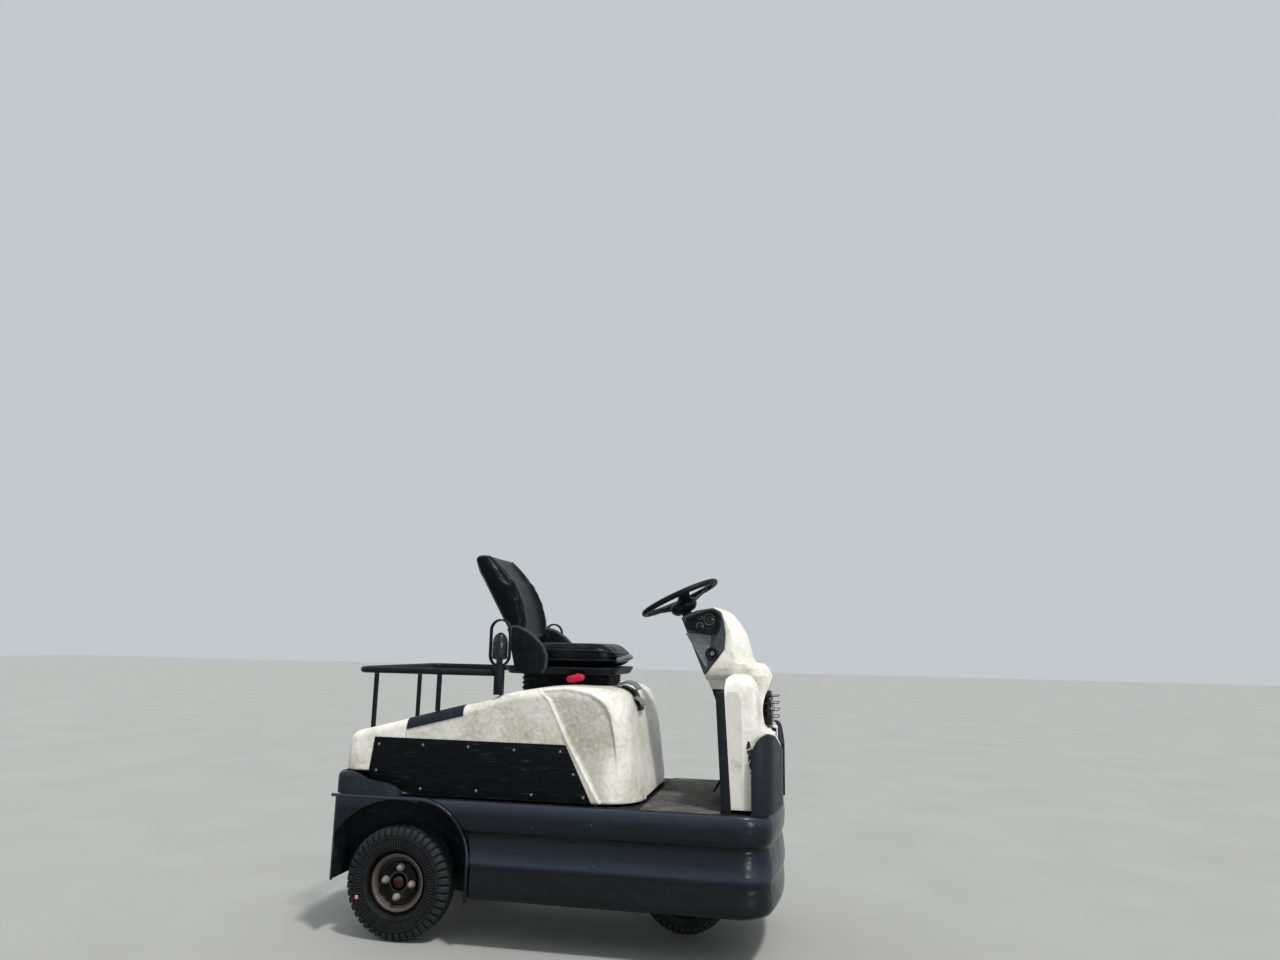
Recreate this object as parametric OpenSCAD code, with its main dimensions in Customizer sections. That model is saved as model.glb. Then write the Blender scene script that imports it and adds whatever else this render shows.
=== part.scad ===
// Electric airport baggage tug: three wheels, ribbed side skirt, tilting seat hood,
// standing front cowl with headlamp and a drop-pin coupling at the rear.
// Millimetres. +X points to the front of the tug, +Y to its left, +Z up.
// The floor is z = 0 and the origin is under the middle of the overall length.

/* [Chassis] */
// Length of the side skirt, from the rear panel to the nose
body_l = 1925; // [1860:1:2000]
// Width over the skirt
body_w = 960; // [920:1:1040]
// Height of the deck plate above the floor
deck_z = 582; // [574:1:610]
// Height of the skirt's lower edge
skirt_low_z = 195; // [170:1:215]
// Thickness of the moulded skirt
skirt_t = 8; // [5:1:12]
// Plan radius of the skirt's front corners
corner_r = 150; // [120:1:200]
// Plan radius of the skirt's slightly bowed front
bow_r = 2000; // [1600:10:3000]
// Depth of the skirt's horizontal groove
groove_d = 13; // [6:1:18]
// Height of the skirt's groove
groove_z = 449; // [430:1:465]
// Height of the ledge above the skirt's lower band
ledge_z = 315; // [300:1:335]
// Thickness of the chassis plates
plate_t = 8; // [6:1:12]

/* [Rear wheels] */
// Outer radius of a rear tyre
rear_tyre_r = 231; // [222:1:236]
// Width of a rear tyre
rear_tyre_w = 130; // [110:1:140]
// Distance of the rear axle from the rear panel
rear_axle_x = 307; // [295:1:325]
// Distance of the rear tyre's outer face inside the skirt
rear_tyre_inset = 26; // [20:1:40]
// Radius of the axle tube
axle_tube_r = 42; // [34:1:50]
// Radius of the wheel spindles
spindle_r = 20; // [15:1:25]
// Radius of the circle on which the wheel nuts sit
nut_circle_r = 62; // [56:1:68]

/* [Front wheel] */
// Outer radius of the front tyre
front_tyre_r = 203; // [190:1:206]
// Width of the front tyre
front_tyre_w = 102; // [90:1:112]
// Distance of the front wheel's centre behind the nose
front_wheel_back = 440; // [400:1:470]
// Thickness of the fork's blades
fork_t = 16; // [12:1:20]
// Radius of the kingpin that turns in the chassis
kingpin_r = 35; // [28:1:42]

/* [Hood] */
// Distance of the hood's front foot from the rear panel
hood_l = 1342; // [1320:1:1360]
// Distance of the hood's side face inside the skirt
hood_inset = 48; // [40:1:60]
// Height of the hood's highest line above the deck
hood_rise = 482; // [460:1:500]
// Wall of the moulded hood
hood_t = 6; // [4:1:8]
// Gap between the hood's foot and the deck
hood_gap = 11; // [8:1:14]
// Distance of the seam between hood and rear deck cover from the rear panel
seam_x = 301; // [280:1:320]
// Thickness of the screwed side panels
panel_t = 5; // [3:1:8]
// Height of the luggage rail's centre above the floor
rail_z = 1112; // [1080:1:1140]
// Radius of the luggage rail's tube
rail_r = 14; // [11:1:18]

/* [Seat] */
// Width of the seat cushion
seat_w = 480; // [440:1:520]
// Distance of the seat pan's front edge from the rear panel
seat_front_x = 1190; // [1160:1:1220]
// Height of the sprung seat base, from the hood to the pan
suspension_h = 40; // [36:1:60]
// Thickness of the seat cushion
cushion_h = 108; // [90:1:120]

/* [Cowl] */
// Distance of the cowl's driver side face behind the nose
cowl_back = 237; // [220:1:250]
// Thickness of the dark guards round the cowl's front corners
shield_t = 31; // [24:1:36]
// Distance of the corner guards' side face inside the skirt
shield_inset = 33; // [28:1:40]
// Plan radius of the corner guards
shield_r = 100; // [80:1:120]
// Height of the leg shield above the deck
shield_h = 545; // [520:1:560]
// Width of the steering tower
tower_w = 320; // [280:1:360]
// Radius of the headlamp's shell
lamp_r = 84; // [75:1:88]
// Height of the headlamp's centre above the deck
lamp_h = 388; // [375:1:400]
// Radius of the steering wheel, to the middle of its grip
steer_r = 182; // [165:1:195]
// Radius of the steering wheel's grip
grip_r = 14; // [11:1:17]
// Angle of the steering wheel's plane to the floor
steer_tilt = 25.5; // [20:0.5:32]

/* [Coupling] */
// Reach of the coupling's jaws behind the rear panel
jaw_reach = 128; // [110:1:150]
// Radius of the drop pin
pin_r = 14; // [11:1:17]
// Free height of one gap between the jaws
jaw_gap = 52; // [44:1:60]

/* [Hidden] */

$fn = 48;
// Gap at a face where two pieces seat on each other
seat_gap = 0.3;
// Gap between pieces that move past each other
moving_gap = 5;
// Radial gap between a shaft and its bore
shaft_gap = 0.1;
// Sideways gap between a hub and what carries its spindle
hub_gap = 5;

// The rear panel stands at this x, so that the origin is under the middle
rear_x = -(body_l - jaw_reach) / 2;
half_w = body_w / 2;
deck_top = deck_z;
deck_under = deck_z - plate_t;

// Wheel arch: its lip runs level with the deck, round the front upper corner and down
lip_r = 7;
lip_z = deck_z - 2;
lip_front_x = rear_axle_x + 325;
lip_arc_r = 238;
lip_low_z = skirt_low_z - 8;
opening_r = lip_z - lip_r - rear_tyre_r + 1;
opening_rear_x = 22;
well_x = lip_front_x + 22;
rear_wheel_y = half_w - rear_tyre_inset - rear_tyre_w / 2;
well_y = half_w - rear_tyre_inset - rear_tyre_w - 20;
front_wheel_x = body_l - front_wheel_back;
spindle_end_y = rear_wheel_y + 12;

// Bowed front: centre of the bow, half its angle and the centres of the corner arcs
bow_x = body_l - bow_r;
corner_y = half_w - corner_r;
bow_angle = asin(corner_y / (bow_r - corner_r));
corner_x = bow_x + (bow_r - corner_r) * cos(bow_angle);

// Hood and the hinge at its rear foot
hood_half_w = half_w - hood_inset;
hood_foot_z = deck_top + hood_gap;
hood_top_z = deck_top + hood_rise;
hinge_x = 0;
hinge_z = deck_top + 112;
hinge_r = 10;
hinge_pin_r = 6;
cover_foot_z = deck_top + 100;

// Seat
seat_base_z = hood_top_z + 2;
pan_z = seat_base_z + suspension_h;
pan_h = 34;
cushion_z = pan_z + pan_h;
seat_rear_x = 660;

// Front cowl: white side shells behind the corner guards, with the tower between them
nose_x = body_l - 4;
cowl_x = nose_x - cowl_back;
lining_t = 40;
lining_h = 474;
recess_x = cowl_x + 14;
shield_half_w = half_w - shield_inset;
shield_y = shield_half_w - shield_r;
shield_angle = asin(shield_y / (bow_r - shield_r));
shield_x = bow_x + (bow_r - shield_r) * cos(shield_angle);
cowl_half_w = shield_half_w - shield_t;
column_half_w = 112;
lamp_z = deck_top + lamp_h;
wheel_hub = [nose_x - 478, deck_top + 884];

// Points round a bowed outline, from its right side over the nose to its left: [x, y, angle of the normal].
// The corner arcs stand at [x, -y] and [x, y], and the bow spans the angle to both sides of the middle.
arc_n = 12;
bow_n = 8;
function bowed_path(x, y, corner, angle, bow) = concat(
    [for (i = [0:arc_n]) let (a = -90 + i * (90 - angle) / arc_n) [x + corner * cos(a), -y + corner * sin(a), a]],
    [for (i = [1:bow_n - 1]) let (a = -angle + i * 2 * angle / bow_n) [bow_x + bow * cos(a), bow * sin(a), a]],
    [for (i = [0:arc_n]) let (a = angle + i * (90 - angle) / arc_n) [x + corner * cos(a), y + corner * sin(a), a]]);
// Those points moved inwards by d
function inset_path(path, d) = [for (p = path) [p[0] - d * cos(p[2]), p[1] - d * sin(p[2])]];
skirt_path = bowed_path(corner_x, corner_y, corner_r, bow_angle, bow_r);
guard_path = bowed_path(shield_x, shield_y, shield_r, shield_angle, bow_r);

module at_rear() { translate([rear_x, 0, 0]) children(); }
module left_side() { mirror([0, 1, 0]) children(); }
module both_sides() { children(); left_side() children(); }
// Turns an outline drawn in x and z into a slab of width w about the middle plane
module slab(w) { rotate([90, 0, 0]) linear_extrude(w, center = true) children(); }
// A bar along Y from y0 to y1
module bar_y(x, z, r, y0, y1) { translate([x, y1, z]) rotate([90, 0, 0]) cylinder(h = y1 - y0, r = r); }

// Closed solid through rings of n points each, given as one list
module skin(pts, n) {
    rings = len(pts) / n;
    polyhedron(points = pts, faces = concat(
        [[for (j = [n - 1:-1:0]) j]],
        [for (i = [0:rings - 2]) for (j = [0:n - 1])
            [i * n + j, i * n + (j + 1) % n, (i + 1) * n + (j + 1) % n, (i + 1) * n + j]],
        [[for (j = [0:n - 1]) (rings - 1) * n + j]]));
}

// Skirt

// Outline of the skirt's outer face, top to bottom: [distance inside the widest plane, height]
skirt_top_inset = 18;
skirt_start_x = lip_front_x - lip_arc_r;
skirt_face = [
    [skirt_top_inset, deck_z - 1], [9, deck_z - 7], [5, deck_z - 28], [4, deck_z - 80], [6, groove_z + 18],
    [groove_d, groove_z], [7, groove_z - 16], [4, groove_z - 44], [5, ledge_z + 24],
    [9, ledge_z + 6], [2, ledge_z - 16], [0, ledge_z - 46], [0, skirt_low_z + 44],
    [5, skirt_low_z + 22], [14, skirt_low_z + 8], [28, skirt_low_z]];
skirt_n = len(skirt_face);
skirt_band = concat(skirt_face, [for (i = [skirt_n - 1:-1:0]) skirt_face[i] + [skirt_t, 0]]);

// Ring of the skirt's section at a point of its path
function skirt_ring(p) = [for (b = skirt_band) [p[0] - b[0] * cos(p[2]), p[1] - b[0] * sin(p[2]), b[1]]];

module skirt() {
    path = concat([[skirt_start_x, -half_w, -90]], skirt_path, [[skirt_start_x, half_w, 90]]);
    color("#343842") at_rear() difference() {
        skin([for (p = path) for (q = skirt_ring(p)) q], len(skirt_band));
        // Room for the lip of the wheel arch
        both_sides() {
            translate([skirt_start_x - 1, -half_w - 1, skirt_low_z - 1])
                cube([lip_front_x + lip_r + seat_gap - skirt_start_x + 1, 60, lip_z - lip_arc_r - skirt_low_z + 1]);
            bar_y(lip_front_x - lip_arc_r, lip_z - lip_arc_r, lip_arc_r + lip_r + seat_gap,
                -half_w - 1, -half_w + 60, $fn = 360);
        }
    }
}

// Fenders: smooth plates round the rear wheels with a rolled lip
fender_inset = 10;
fender_low_z = 232;
rear_corner_r = 34;

module fender() {
    outer_y = -half_w + fender_inset;
    difference() {
        union() {
            translate([rear_corner_r, outer_y, fender_low_z])
                cube([lip_front_x - lip_arc_r - rear_corner_r, plate_t, deck_under - fender_low_z]);
            translate([rear_corner_r, outer_y + rear_corner_r, fender_low_z])
                rotate([0, 0, 180]) rotate_extrude(angle = 90)
                    translate([rear_corner_r - plate_t, 0]) square([plate_t, deck_under - fender_low_z]);
            // Flange along the edge of the deck
            translate([rear_corner_r, outer_y, deck_under - 1])
                cube([lip_front_x - lip_arc_r - rear_corner_r, deck_inset - fender_inset - seat_gap, plate_t]);
        }
        intersection() {
            bar_y(rear_axle_x, rear_tyre_r, opening_r, -half_w - 1, -half_w + 60);
            translate([opening_rear_x, -half_w - 1, 0]) cube([body_l, 61, deck_z]);
        }
    }
    // Lip: level over the rear, round the arch's corner and straight down
    lip_y = -half_w + lip_r;
    translate([-2, lip_y, lip_z]) rotate([0, 90, 0]) cylinder(h = lip_front_x - lip_arc_r + 2, r = lip_r);
    translate([lip_front_x - lip_arc_r, lip_y, lip_z - lip_arc_r]) rotate([-90, 0, 0])
        rotate([0, 0, -90]) rotate_extrude(angle = 90, $fn = 128) translate([lip_arc_r, 0]) circle(r = lip_r);
    translate([lip_front_x, lip_y, lip_low_z]) cylinder(h = lip_z - lip_arc_r - lip_low_z, r = lip_r);
}

module fender_right() { color("#343842") at_rear() fender(); }
module fender_left() { color("#343842") at_rear() left_side() fender(); }

// Rear shoulder: thick dark moulding round the rear of the deck, tapering along the sides
shoulder_z = lip_z + lip_r + seat_gap;
shoulder_h = deck_top + 98 - shoulder_z;
shoulder_l = 310;
shoulder_r = 60;
shoulder_out_y = half_w - 3;
shoulder_w = shoulder_out_y - hood_half_w - seat_gap - panel_t - moving_gap;

module shoulder_section() {
    // Drawn from the inner face outwards
    intersection() {
        square([shoulder_w, shoulder_h]);
        translate([shoulder_w - 26, shoulder_h - 26]) union() {
            circle(r = 26);
            translate([-200, -200]) square([200, 226]);
            translate([-1, -200]) square([27, 200]);
        }
    }
}

// Side view of what the shoulder's upper face loses: [distance from the rear panel, height above deck]
shoulder_fall = [[70, 99], [115, 84], [155, 66], [235, 55], [280, 43], [302, 26], [shoulder_l, 4],
    [shoulder_l + 1, 4], [shoulder_l + 1, 200]];

module shoulder_side() {
    difference() {
        translate([shoulder_r, shoulder_w - shoulder_out_y, shoulder_z])
            rotate([90, 0, 90]) mirror([1, 0, 0])
                linear_extrude(shoulder_l - shoulder_r) shoulder_section();
        // Upper face falls towards the front
        slab(body_w + 20) polygon([for (p = shoulder_fall) [p[0], deck_top + p[1]]]);
    }
}

// Hinge leaf in side view: an eye on a foot that reaches down to z0
module hinge_leaf(z0) {
    difference() {
        union() {
            translate([hinge_x, hinge_z]) circle(r = hinge_r);
            translate([hinge_x - hinge_r, z0]) square([2 * hinge_r, hinge_z - z0]);
        }
        translate([hinge_x, hinge_z]) circle(r = hinge_pin_r + shaft_gap);
    }
}

hinge_y = 250;
leaf_w = 16;

module rear_shoulder() {
    color("#3a3d45") at_rear() {
        // Hinge leaves of the seat hood
        for (y = [-hinge_y, hinge_y]) slab_at(y, leaf_w) hinge_leaf(shoulder_z + shoulder_h - 40);
        both_sides() shoulder_side();
        both_sides()
            translate([shoulder_r, -shoulder_out_y + shoulder_r, shoulder_z])
                rotate([0, 0, 180]) rotate_extrude(angle = 90)
                    translate([shoulder_r - shoulder_w, 0]) shoulder_section();
        translate([shoulder_w, shoulder_out_y - shoulder_r, shoulder_z])
            rotate([90, 0, 0]) linear_extrude(2 * (shoulder_out_y - shoulder_r))
                mirror([1, 0, 0]) shoulder_section();
    }
}

// Chassis
battery_x0 = well_x + plate_t + 6;
battery_x1 = hood_l - 130;
battery_half_w = hood_half_w - 70;
battery_top_z = deck_top + 330;
tray_z = 215;

// Plan of the deck inside the skirt, drawn from the rear panel
module deck_plan(inset) {
    polygon(concat([[inset, -half_w + inset]], inset_path(skirt_path, inset), [[inset, half_w - inset]]));
}

deck_inset = skirt_top_inset + skirt_t + seat_gap;

module chassis_frame() {
    color("#2c2f34") at_rear() {
        // Deck plate with the battery opening, the wheel wells' roof and the kingpin's hole
        difference() {
            translate([0, 0, deck_under]) linear_extrude(plate_t) deck_plan(deck_inset);
            translate([battery_x0, -battery_half_w - 6, 0])
                cube([battery_x1 - battery_x0, 2 * battery_half_w + 12, deck_z + 1]);
            translate([front_wheel_x, 0, 0]) cylinder(h = deck_z + 1, r = kingpin_r + shaft_gap);
        }
        // Rear panel
        translate([0, -half_w + rear_corner_r + fender_inset, fender_low_z])
            cube([12, body_w - 2 * rear_corner_r - 2 * fender_inset, deck_under - fender_low_z]);
        // Inner walls of the wheel wells
        both_sides() difference() {
            translate([12, -well_y, skirt_low_z + 40]) cube([well_x - 12, plate_t, deck_under - skirt_low_z - 40]);
            bar_y(rear_axle_x, rear_tyre_r, axle_tube_r + seat_gap, -well_y - 1, -well_y + plate_t + 1);
        }
        // Bulkheads before and behind the battery, the tray under it and the side bearers
        for (x = [well_x, battery_x1 + 6])
            translate([x, -half_w + deck_inset, tray_z])
                cube([plate_t, body_w - 2 * deck_inset, deck_under - tray_z]);
        translate([well_x, -battery_half_w - 6, tray_z])
            cube([battery_x1 + 14 - well_x, 2 * battery_half_w + 12, plate_t]);
        // Box girder that carries the front wheel's head tube
        both_sides() translate([battery_x1 + 14, -260, deck_under - 70])
            cube([body_l - battery_x1 - 90, plate_t, 70]);
        difference() {
            translate([front_wheel_x, 0, deck_under - 70]) cylinder(h = 70, r = 92);
            translate([front_wheel_x, 0, 0]) cylinder(h = deck_z, r = kingpin_r + shaft_gap);
        }
        both_sides() translate([front_wheel_x - 40, -260, deck_under - 70]) cube([80, 190, plate_t]);
        // Rubber stops under the hood's foot
        both_sides() translate([hood_l - 180, -hood_half_w + 12, deck_top])
            cylinder(h = hood_gap - seat_gap, r = 10);
    }
}

module slab_at(y, w) { translate([0, y, 0]) slab(w) children(); }

module platform_mat() {
    color("#46443f") at_rear() translate([0, 0, deck_top]) linear_extrude(5) intersection() {
        deck_plan(deck_inset + 2);
        translate([hood_l + 12, -half_w]) square([cowl_x - hood_l - 12 - 4, body_w]);
    }
}

module drive_axle() {
    color("#26282c") at_rear() {
        bar_y(rear_axle_x, rear_tyre_r, axle_tube_r, -well_y - 4, well_y + 4);
        translate([rear_axle_x, 0, rear_tyre_r]) sphere(r = 92);
        translate([rear_axle_x, 0, rear_tyre_r]) rotate([0, 90, 0]) cylinder(h = 130, r = 62);
        both_sides() bar_y(rear_axle_x, rear_tyre_r, spindle_r, -spindle_end_y, -well_y);
    }
}

module traction_motor() {
    color("#33363b") at_rear() translate([rear_axle_x + 130, 0, rear_tyre_r])
        rotate([0, 90, 0]) cylinder(h = well_x - rear_axle_x - 130 - seat_gap, r = 86);
}

module battery_pack() {
    color("#3d4a58") at_rear()
        translate([battery_x0, -battery_half_w, tray_z + plate_t + seat_gap])
            cube([battery_x1 - battery_x0, 2 * battery_half_w, battery_top_z - tray_z - plate_t - seat_gap]);
}

// Coupling: three jaws one above another with a pin dropped through them
jaw_t = 16;
jaw_w = 110;
jaw_low_z = 300;
jaw_x = -jaw_reach + 50;

module jaw_plan() {
    hull() {
        translate([jaw_x, 0]) circle(r = 50);
        translate([-2, -jaw_w / 2]) square([2, jaw_w]);
    }
}

module tow_coupling() {
    color("#3a3a3a") at_rear() difference() {
        union() {
            for (i = [0:2]) translate([0, 0, jaw_low_z + i * (jaw_gap + jaw_t)])
                linear_extrude(jaw_t) jaw_plan();
            translate([-12, -jaw_w / 2 - 20, jaw_low_z - 20])
                cube([12, jaw_w + 40, 2 * jaw_gap + 3 * jaw_t + 40]);
        }
        translate([jaw_x, 0, 0]) cylinder(h = deck_z, r = pin_r + 1);
    }
}

module coupling_pin() {
    top_z = jaw_low_z + 2 * jaw_gap + 3 * jaw_t;
    color("#6b6a66") at_rear() translate([jaw_x, 0, 0]) {
        translate([0, 0, jaw_low_z - 12]) cylinder(h = top_z - jaw_low_z + 60, r = pin_r);
        translate([0, 0, top_z + seat_gap]) cylinder(h = 10, r = pin_r + 8);
        bar_y(0, top_z + 40, 6, -45, 45);
    }
}

// Front cowl

function off_nose(p) = [nose_x - p[0], deck_top + p[1]];
// Point in side view, d below the steering wheel's hub and a along its plane
function under_hub(d, a) = [wheel_hub[0] + d * sin(steer_tilt) + a * cos(steer_tilt),
    wheel_hub[1] - d * cos(steer_tilt) + a * sin(steer_tilt)];

// Driver side edge of the cowl's shells behind the nose, which leans back with the height above the deck
function shell_rear(h) = cowl_back - lining_t + 0.061 * h;

// Stations up the tower: [height above the deck, driver side behind the nose, front behind the nose,
// half width, depth of the rounded front]
tower_stations = [
    [seat_gap, shell_rear(0), 6, column_half_w, 70],
    [180, shell_rear(180), 6, column_half_w, 70],
    [242, shell_rear(242), 9, column_half_w, 70],
    [311, shell_rear(311), 30, column_half_w, 72],
    [400, shell_rear(400), 34, column_half_w + 2, 74],
    [lining_h, shell_rear(lining_h), 37, column_half_w + 8, 76],
    [lining_h + seat_gap, 314, 37, column_half_w + 8, 76],
    [514, 330, 43, column_half_w + 20, 80],
    [516, 338, 44, column_half_w + 21, 80],
    [537, 342, 49, tower_w / 2 - 14, 84],
    [568, 315, 62, tower_w / 2 - 4, 88],
    [588, 300, 84, tower_w / 2 - 2, 90],
    [592, 296, 118, tower_w / 2 - 1, 92],
    [612, 280, 131, tower_w / 2, 92],
    [648, 254, 141, tower_w / 2, 90],
    [714, 249, 160, tower_w / 2, 72],
    [771, 258, 193, tower_w / 2, 56],
    [815, 272, 232, tower_w / 2 - 6, 36],
    [831, 300, 268, tower_w / 2 - 12, 28],
    [837, 308, 292, tower_w / 2 - 20, 14]];

// Plan ring of a station: square towards the driver, elliptical towards the front
function tower_ring(h, rear, front, w, a) = concat([[nose_x - rear, -w, deck_top + h]],
    [for (i = [-90:15:90]) [nose_x - front - a * (1 - cos(i)), w * sin(i), deck_top + h]],
    [[nose_x - rear, w, deck_top + h]]);
tower_n = 15;

// The pod's outline follows the tower's driver side above its lip
pod_seam = [for (s = tower_stations) if (s[0] > 530 && s[0] < 835) [s[1] + seat_gap, s[0]]];
column_l = 99;

module pod_outline(inset) {
    offset(delta = -inset) polygon(concat(
        [off_nose([448, 786]), under_hub(column_l, -10), under_hub(column_l, 60), off_nose([308 + seat_gap, 833])],
        [for (i = [len(pod_seam) - 1:-1:0]) off_nose(pod_seam[i])]));
}

lamp_back_x = nose_x - 122;
bucket_r = lamp_r + 6;

module steering_tower() {
    color("#dcd9d0") at_rear() difference() {
        skin([for (s = tower_stations) for (p = tower_ring(s[0], s[1], s[2], s[3], s[4])) p], tower_n);
        translate([lamp_back_x, 0, lamp_z]) rotate([0, 90, 0]) cylinder(h = 200, r = bucket_r);
    }
}

// Front view of the room the tower takes
module tower_front() {
    n = len(tower_stations);
    edge = [for (s = tower_stations) [s[3] + seat_gap, deck_top + s[0]]];
    polygon(concat([[edge[0][0], 0]], edge, [for (i = [n - 1:-1:0]) [-edge[i][0], edge[i][1]]], [[-edge[0][0], 0]]));
}

// Side view of a side shell: [behind the nose, height above the deck]
shell_side = [
    [shell_rear(16), 16], [shell_rear(490), 490], [shell_rear(490) - 5, shield_h - 14],
    [shell_rear(490) - 23, shield_h], [152, shield_h], [128, shield_h - 12], [110, shield_h - 38],
    [97, shield_h - 80], [92, 390], [88, 350], [72, 322], [46, 304], [10, 296], [10, 16]];

// Front view of the side shells, half the width and the height above the deck
module shell_front(inset) {
    offset(delta = -inset) polygon([
        [-cowl_half_w, deck_top - 40], [-cowl_half_w, deck_top + shield_h - 66],
        [-cowl_half_w + 9, deck_top + shield_h - 34], [-cowl_half_w + 32, deck_top + shield_h - 10],
        [-cowl_half_w + 66, deck_top + shield_h], [cowl_half_w - 66, deck_top + shield_h],
        [cowl_half_w - 32, deck_top + shield_h - 10], [cowl_half_w - 9, deck_top + shield_h - 34],
        [cowl_half_w, deck_top + shield_h - 66], [cowl_half_w, deck_top - 40]]);
}

// A side shell's outer form, or with an inset the room inside it, open below and to the rear
module shell_form(inset) {
    intersection() {
        translate([0, 0, deck_top]) linear_extrude(shield_h + 10)
            polygon(concat([[cowl_x - 40, -cowl_half_w + inset]], inset_path(guard_path, shield_t + inset),
                [[cowl_x - 40, cowl_half_w - inset]]));
        rotate([90, 0, 90]) linear_extrude(body_l) shell_front(inset);
        slab(body_w) translate([-inset, -inset]) polygon([for (p = shell_side) off_nose(p)]);
    }
}

module front_cowl() {
    color("#dcd9d0") at_rear() difference() {
        shell_form(0);
        shell_form(hood_t);
        // Room for the tower between the two shells
        rotate([90, 0, 90]) linear_extrude(body_l) tower_front();
    }
}

// Driver side lining: it leans back with the shells and flares out under the tower's lip
module lining_outline() {
    polygon([off_nose([cowl_back, seat_gap]), off_nose([cowl_back + 24, 430]), off_nose([cowl_back + 24, lining_h]),
        off_nose([shell_rear(lining_h) + seat_gap, lining_h]), off_nose([shell_rear(0) + seat_gap, seat_gap])]);
}

module cowl_lining() {
    color("#2d2f33") at_rear() difference() {
        union() {
            slab(2 * cowl_half_w + 2) lining_outline();
            slab(2 * column_half_w + 16) polygon([off_nose([cowl_back + 22, 350]), off_nose([284, 396]),
                off_nose([311, lining_h]), off_nose([cowl_back, lining_h]), off_nose([cowl_back, 350])]);
        }
        // Shallow foot recess over the pedals
        translate([recess_x - 60, -cowl_half_w + 60, deck_top + 40]) cube([60, 2 * cowl_half_w - 120, 240]);
    }
}

// Side view of a corner guard: [behind the nose, height above the deck]
guard_rear = 115;
guard_side = [[guard_rear, 0], [guard_rear, 224], [guard_rear - 3, 246], [guard_rear - 9, 266], [guard_rear - 20, 286],
    [guard_rear - 36, 302], [guard_rear - 55, 311], [guard_rear - 72, 310], [20, 300], [-10, 290], [-10, 0]];
// Front view of its edge, which falls towards the nose: [distance from the middle, height above the deck]
guard_front = [[half_w, 0], [half_w, 330], [shield_half_w - 70, 330], [320, 300], [260, 276], [190, 250],
    [column_half_w + 2, 228], [column_half_w + 2, 0]];

module corner_shield() {
    intersection() {
        translate([0, 0, deck_top + seat_gap]) linear_extrude(330) polygon(concat(
            [[nose_x - guard_rear - 1, -shield_half_w]], inset_path(guard_path, 0),
            [for (i = [len(guard_path) - 1:-1:0]) inset_path(guard_path, shield_t - seat_gap)[i]],
            [[nose_x - guard_rear - 1, -cowl_half_w - seat_gap]]));
        slab(body_w) polygon([for (p = guard_side) off_nose(p)]);
        rotate([90, 0, 90]) linear_extrude(body_l + 10) polygon([for (p = guard_front) [-p[0], deck_top + p[1]]]);
    }
}

module corner_shield_right() { color("#3f444d") at_rear() corner_shield(); }
module corner_shield_left() { color("#3f444d") at_rear() left_side() corner_shield(); }

lamp_depth = 80;

module headlamp() {
    color("#1b1c1f") at_rear() translate([lamp_back_x + seat_gap, 0, lamp_z]) rotate([0, 90, 0])
        rotate_extrude($fn = 64) polygon([
            [0, 0], [38, 0], [60, 16], [lamp_r - 8, 44], [lamp_r, 54], [lamp_r, lamp_depth - 14],
            [lamp_r - 6, lamp_depth - 8], [lamp_r - 10, lamp_depth - 8], [56, lamp_depth - 3], [28, lamp_depth],
            [0, lamp_depth + 1]]);
}

// Wire guard: level bars before the lamp, each on two legs that stand in the bucket
module headlamp_guard() {
    wire_r = 1.8;
    guard_x = lamp_depth + 22;
    guard_r = lamp_r + 3;
    color("#1b1c1f") at_rear() translate([lamp_back_x + seat_gap, 0, lamp_z])
        for (z = [-60:30:60]) {
            y = sqrt(guard_r * guard_r - z * z);
            bar_y(guard_x, z, wire_r, -y, y);
            for (s = [-y, y]) {
                translate([0, s, z]) rotate([0, 90, 0]) cylinder(h = guard_x, r = wire_r);
                translate([guard_x, s, z]) sphere(r = wire_r);
            }
        }
}

// The pod's side faces stand proud of its chamfered edge
module instrument_pod() {
    color("#55585a") at_rear() {
        slab(tower_w - 16) pod_outline(0);
        slab(tower_w - 8) pod_outline(4);
    }
}

// Round-cornered bezel on the pod's right side, with a sunk face
module gauge_plan(inset) {
    hull() {
        translate([nose_x - 311, deck_top + 780]) circle(r = 44 - inset);
        translate([nose_x - 313, deck_top + 756]) circle(r = 44 - inset);
        translate([nose_x - 396, deck_top + 765]) circle(r = 30 - inset);
    }
}

module gauge_cluster() {
    back_y = tower_w / 2 - 4 + seat_gap;
    color("#16171a") at_rear() rotate([90, 0, 0]) translate([0, 0, back_y]) difference() {
        linear_extrude(18) gauge_plan(0);
        translate([0, 0, 8]) linear_extrude(20) gauge_plan(15);
    }
}

module steering_column() {
    color("#1b1c1f") at_rear()
        translate([wheel_hub[0], 0, wheel_hub[1]]) rotate([0, -steer_tilt, 0])
            translate([0, 0, -column_l + seat_gap]) cylinder(h = column_l - 20 - seat_gap, r = 24);
}

module steering_wheel() {
    color("#17181a") at_rear()
        translate([wheel_hub[0], 0, wheel_hub[1]]) rotate([0, -steer_tilt, 0]) {
            rotate_extrude($fn = 96) translate([steer_r, 0]) circle(r = grip_r, $fn = 24);
            translate([0, 0, -20 + seat_gap]) cylinder(h = 26, r = 42);
            for (a = [-75, 45, 165]) rotate([0, 0, a])
                translate([30, -14, -14]) cube([steer_r - 34, 28, 9]);
        }
}

module pedals() {
    color("#1e1f22") at_rear()
        for (y = [-200, -60]) {
            translate([cowl_x - 60, y, deck_top + 50]) rotate([0, 30, 0]) cube([8, 70, 90]);
            translate([cowl_x - 34, y + 25, deck_top + 80]) cube([recess_x - seat_gap - cowl_x + 34, 20, 12]);
        }
}

// Hood

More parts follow.
